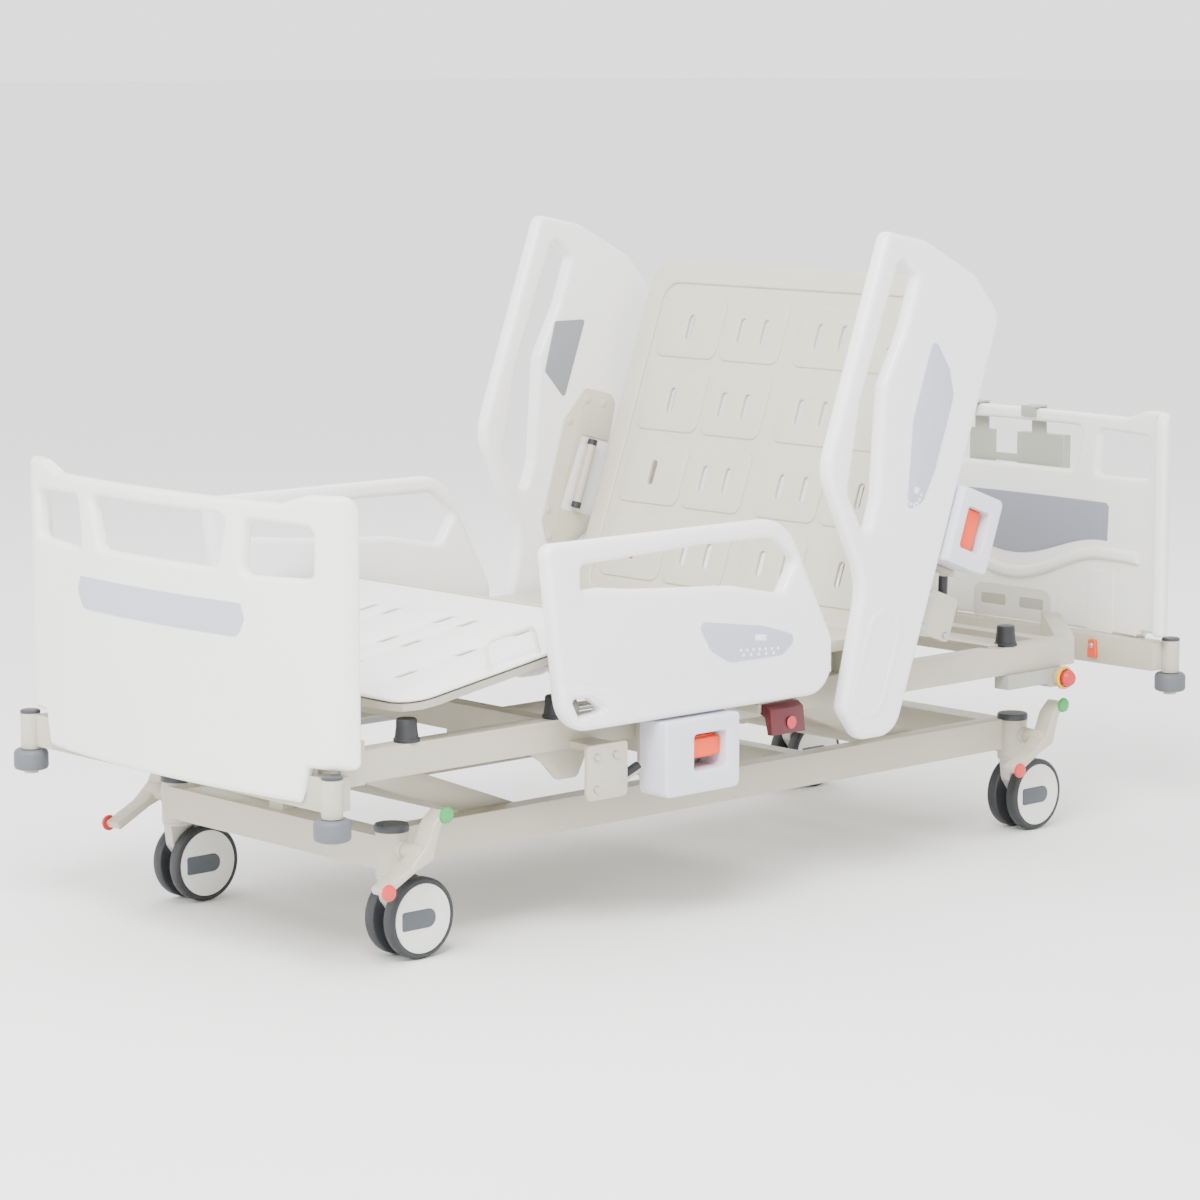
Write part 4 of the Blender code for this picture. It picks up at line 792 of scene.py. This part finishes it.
# Footboard and headboard: bowed one-piece mouldings whose ends wrap in round the corner
# posts, each with three grip windows under its top edge. Below the frame's top only a thin
# outer skirt hangs in front of the end bar.
BOW_RATE = 0.224
BOW_END = 0.425
WRAP_RADIUS = 0.040
WRAP_TURN = math.radians(78)
WRAP_STEPS = 24
SKIRT_HALF = 0.385
SKIRT_BACK = 0.0085


def bow_point(s):
    """(x inward from the crown, y, normal angle) along the board's bowed middle."""
    side = 1 if s >= 0 else -1
    s = abs(s)
    if s <= BOW_END:
        return BOW_RATE * s * s, side * s, side * math.atan(2 * BOW_RATE * s)
    x = BOW_RATE * BOW_END * BOW_END
    y = BOW_END
    angle = math.atan(2 * BOW_RATE * BOW_END)
    stride = (s - BOW_END) / WRAP_STEPS
    for k in range(WRAP_STEPS):
        x += math.sin(angle) * stride
        y += math.cos(angle) * stride
        angle = min(angle + stride / WRAP_RADIUS, WRAP_TURN)
    return x, side * y, side * angle


def cut_across(shape, along, place):
    """Cuts new edges into a shape where axis `along` (0 for X, 1 for Y) is at `place`."""
    normal = [0, 0, 0]
    normal[along] = 1
    geometry = shape.verts[:] + shape.edges[:] + shape.faces[:]
    point = [place * n for n in normal]
    bmesh.ops.bisect_plane(shape, geom=geometry, plane_co=point, plane_no=normal, dist=0.00001)


def bowed(mesh, end, crown, step=None):
    """Bends a flat drawing in (s, z), whose thickness runs along its own Z, round the bow.
    Below `step` only a thin skirt is left on the outer side."""
    shape = bmesh.new()
    shape.from_mesh(mesh)
    if step:
        for height in (step, step + 0.006):
            cut_across(shape, 1, height)
        for vert in shape.verts:
            if vert.co.y <= step + 0.0001 and abs(vert.co.x) < SKIRT_HALF:
                vert.co.z = max(vert.co.z, SKIRT_BACK)
    for k in range(-21, 22):
        cut_across(shape, 0, k * 0.02)
    for sign in (-1, 1):
        for k in range(1, 14):
            cut_across(shape, 0, sign * (BOW_END + k * 0.006))
    for vert in shape.verts:
        s, z, out = vert.co
        x, y, angle = bow_point(s)
        x -= out * math.cos(angle)
        y += out * math.sin(angle)
        vert.co = (MIDDLE + end * (crown - x), y, z)
    bmesh.ops.recalc_face_normals(shape, faces=shape.faces)
    shape.to_mesh(mesh)
    shape.free()
    return mesh


def board_corners(bottom):
    """A board's outline, with its top edge raised at both ends and its skirt down to `bottom`."""
    return [
        (-0.486, 0.392, 0.014), (-0.392, 0.392, 0.006), (-0.378, bottom, 0.012), (0.378, bottom, 0.012),
        (0.392, 0.392, 0.006), (0.486, 0.392, 0.014), (0.486, 0.868, 0.030), (0.395, 0.868, 0.060),
        (0.330, 0.848, 0.060), (-0.330, 0.848, 0.060), (-0.395, 0.868, 0.060), (-0.486, 0.868, 0.030),
    ]


BOARD_CROWN = 1.171
SKIRT_TOP = 0.3805
GRIP_WINDOWS = [
    [(-0.176, 0.722, 0.016), (0.176, 0.722, 0.016), (0.202, 0.820, 0.016), (-0.202, 0.820, 0.016)],
]
for sign in (-1, 1):
    GRIP_WINDOWS.append([
        (sign * 0.236, 0.716, 0.016), (sign * 0.408, 0.722, 0.016),
        (sign * 0.410, 0.812, 0.016), (sign * 0.250, 0.816, 0.016),
    ])
# Injection-moulded white: warmer than the rails, smooth, with a slight shine along the bow.
board_white = surface("white_injection_moulded_board", "#F1F1EE", "#EBEBE7", 0.34, 2.5, 0.08, coat=0.08)
for board, end, bottom in (("footboard", -1, 0.329), ("headboard", 1, 0.373)):
    flat = moulding([board_corners(bottom)] + GRIP_WINDOWS, 0.028, 0.010, 4)
    mesh = bowed(flat, end, BOARD_CROWN, SKIRT_TOP)
    piece(f"{board}_moulding", mesh, board_white, board, (board,))

# Board trim: a tinted strip on the footboard's outer face; on the headboard's inner face a
# tinted panel with a wavy lower edge, over a moulded ridge of the same sweep.
STRIP = [
    (-0.250, 0.640, 0.010), (-0.232, 0.607, 0.020), (0.232, 0.607, 0.020),
    (0.250, 0.640, 0.010), (0.240, 0.667, 0.006), (-0.240, 0.667, 0.006),
]
STATION = 0.020


def swell(y, base, rise, half):
    """The height of a smooth dip in the middle, `rise` deep and level beyond `half`."""
    return base + rise * (1 - math.cos(min(abs(y), half) / half * math.pi)) / 2


strip = moulding([STRIP], 0.002, 0.0006, 2)
mesh = bowed(strip, -1, 1.1855)
piece("footboard_strip", mesh, pale_plate, "footboard")
# Film in a deeper slate blue, flat and smooth against the white moulding.
deep_plate = surface("slate_blue_inlay_film", "#8E919D", "#868995", 0.38, 1.5, 0.04)
wave = [(STATION * k, swell(STATION * k, 0.526, 0.052, 0.26)) for k in range(-14, 15)]
panel = [(-0.275, 0.660), (-0.283, 0.652)] + wave + [(0.283, 0.652), (0.275, 0.660)]
mesh = bowed(pad([panel], 0.002, 0.0005, 1), 1, 1.1565)
piece("headboard_panel", mesh, deep_plate, "headboard")
ridge = [(STATION * k, swell(STATION * k, 0.470, 0.068, 0.27)) for k in range(-19, 20)]
band = [(y, z + 0.026) for y, z in ridge] + ridge[::-1]
mesh = bowed(pad([band], 0.018, 0.0085, 4), 1, 1.1560)
piece("headboard_ridge", mesh, board_white, "headboard")

# Headboard recess: the inner face also has a shallow stowage recess with two hand slots,
# and a small door on each side of it, all moulded in. The recess and the slots are thin
# plates whose greyer colours are painted shade.
RECESS = [(-0.112, 0.376, 0.004), (0.112, 0.376, 0.004), (0.112, 0.450, 0.022), (-0.112, 0.450, 0.022)]
# The board's own plastic where less light falls, so a step greyer.
recess_white = surface("shaded_white_moulding", "#D9D7CE", "#D1CFC5", 0.42, 2.0, 0.08)
# The slots are deep and dull: painted shade, a flat grey on thin plates, stands in for their depth.
slot_painted_shade = surface("painted_shade_hand_slot_grey", "#AFACA2", "#A5A297", 0.50, 2.0, 0.08)
mesh = bowed(moulding([RECESS], 0.0016, 0.0005, 1), 1, 1.1568)
piece("headboard_recess", mesh, recess_white, "headboard")
slots = [
    moulding([oblong(y0, y1, 0.404, 0.428, 0.006)], 0.0020, 0.0006, 1)
    for y0, y1 in ((-0.090, -0.020), (0.020, 0.090))
]
mesh = bowed(joined(slots), 1, 1.1566)
piece("headboard_hand_slots", mesh, slot_painted_shade, "headboard")
for side, sign in SIDES:
    door = moulding([oblong(sign * 0.222, sign * 0.302, 0.378, 0.512, 0.004)], 0.0030, 0.0012, 2)
    mesh = bowed(door, 1, 1.1570)
    piece(f"headboard_door_{side}", mesh, board_white, "headboard")

# Board locks: a moulded clip on the inner face of the head end bar, held by one plated
# bolt, which keeps the headboard down.
LOCK_Y = 0.285
LOCK = [(-0.013, -0.020, 0.004), (0.013, -0.020, 0.004), (0.010, 0.020, 0.004), (-0.010, 0.020, 0.004)]
LOCK_BOLT = [(0.0, 0.0), (0.0055, 0.0), (0.0055, 0.003), (0.0040, 0.0045), (0.0, 0.0048)]
# Orange-red plastic: bright, satin, a shade deeper than the rail pulls.
lock_orange = surface("orange_red_lock_clip", "#F0522A", "#E4481F", 0.38, 1.0, 0.06)
for side, sign in SIDES:
    y = sign * LOCK_Y
    clip = moulding([LOCK], 0.008, 0.0025, 3)
    clip.transform(Matrix(((0, 0, -1, MIDDLE + 1.0905), (-1, 0, 0, y), (0, 1, 0, 0.349), (0, 0, 0, 1))))
    piece(f"board_lock_{side}", clip, lock_orange, "upper")
    facing = Matrix.Rotation(math.radians(-90), 4, "Y")
    bolt = turned(LOCK_BOLT, 16, Matrix.Translation((MIDDLE + 1.0868, y, 0.356)) @ facing)
    piece(f"board_lock_bolt_{side}", bolt, zinc, "upper")

# Hand control: a moulded handset with its hooks and tall bracket, hung over the top rail of
# the headboard.
# Textured olive grey plastic: dull, so that it shows form and hardly any highlight.
olive_grey = surface("olive_grey_moulding", "#A3A49C", "#9A9B93", 0.45, 1.2, 0.10)
refined("hand_control_case", "hand_control", 0.006, 4, olive_grey, "headboard", 60)

# Back release levers: a dark red moulded handle under each foot rail, pivoted on the upper
# frame, with a plain printed disc on its face.
BADGE_FORWARD = 0.008
BADGE_Z = 0.356
BADGE = [(0.0, 0.0), (0.0125, 0.0), (0.0120, 0.0008), (0.0, 0.0010)]
# Dark red plastic, satin, close to brown in shade.
dark_red = surface("dark_red_moulding", "#571820", "#4C131A", 0.38, 1.0, 0.06)
# Printed disc: a flat clearer red on the dark handle.
badge_red = surface("red_printed_badge", "#C4343A", "#B82D33", 0.40, 1.0, 0.02)
for side, sign in SIDES:
    node = f"cpr_lever_{side}"
    body = f"cpr_{side}"
    slot = "dark_red_lever"
    refined(f"release_lever_{side}", node, 0.002, 3, dark_red, body, 60)
    low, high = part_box(node)
    face = low.y if sign < 0 else high.y
    place = ((low.x + high.x) / 2 + BADGE_FORWARD, face, BADGE_Z)
    piece(f"release_badge_{side}", turned(BADGE, 28, side_on(place, sign)), badge_red, body)

# Emergency stop: a moulded box on the upper frame with a mushroom button, which is pressed
# in through a collar.
COLLAR_SET_IN = 0.0260
COLLAR = [
    (0.0191, 0.0), (0.0230, 0.0), (0.0240, 0.0015), (0.0240, 0.0080), (0.0225, 0.0095),
    (0.0191, 0.0095), (0.0191, 0.0),
]
# Signal yellow and signal red plastic: saturated, with the red a little glossier.
yellow = surface("yellow_moulded_collar", "#E3B325", "#D9A91E", 0.40, 1.0, 0.06)
stop_red = surface("red_stop_button", "#CF2E2B", "#C32826", 0.32, 1.0, 0.05)
refined("stop_bracket", "emergency_stop_body", 0.0015, 2, olive_grey, "upper")
button = "emergency_stop_button"
low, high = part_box(button)
middle = (low + high) / 2
collar = turned(COLLAR, 36, side_on((middle.x, low.y + COLLAR_SET_IN, middle.z), -1))
piece("stop_collar", collar, yellow, "upper")
refined("stop_mushroom", button, 0.002, 3, stop_red, "stop_button", 60)

# Actuators: four moulded motor housings, each with a ground steel rod that pushes a lever.
# The two under the frame lift it, and the two on it raise the back and the knees.
# Ground steel: a bright mirror-like rod, softened a little.
bright_steel = surface("ground_steel_rod", "#C8CACC", "#B9BBBE", 0.20, 1.0, 0.03, metallic=1.0)
for label, parent in (("foot_lift", "base"), ("head_lift", "base"), ("back", "upper"), ("knee", "upper")):
    housing = f"{label}_actuator_housing"
    rod = f"{label}_actuator_rod"
    refined(f"{label}_motor", housing, 0.003, 2, caster_shell, parent)
    refined(f"{label}_ram", rod, 0.001, 2, bright_steel, f"{label}_rod")
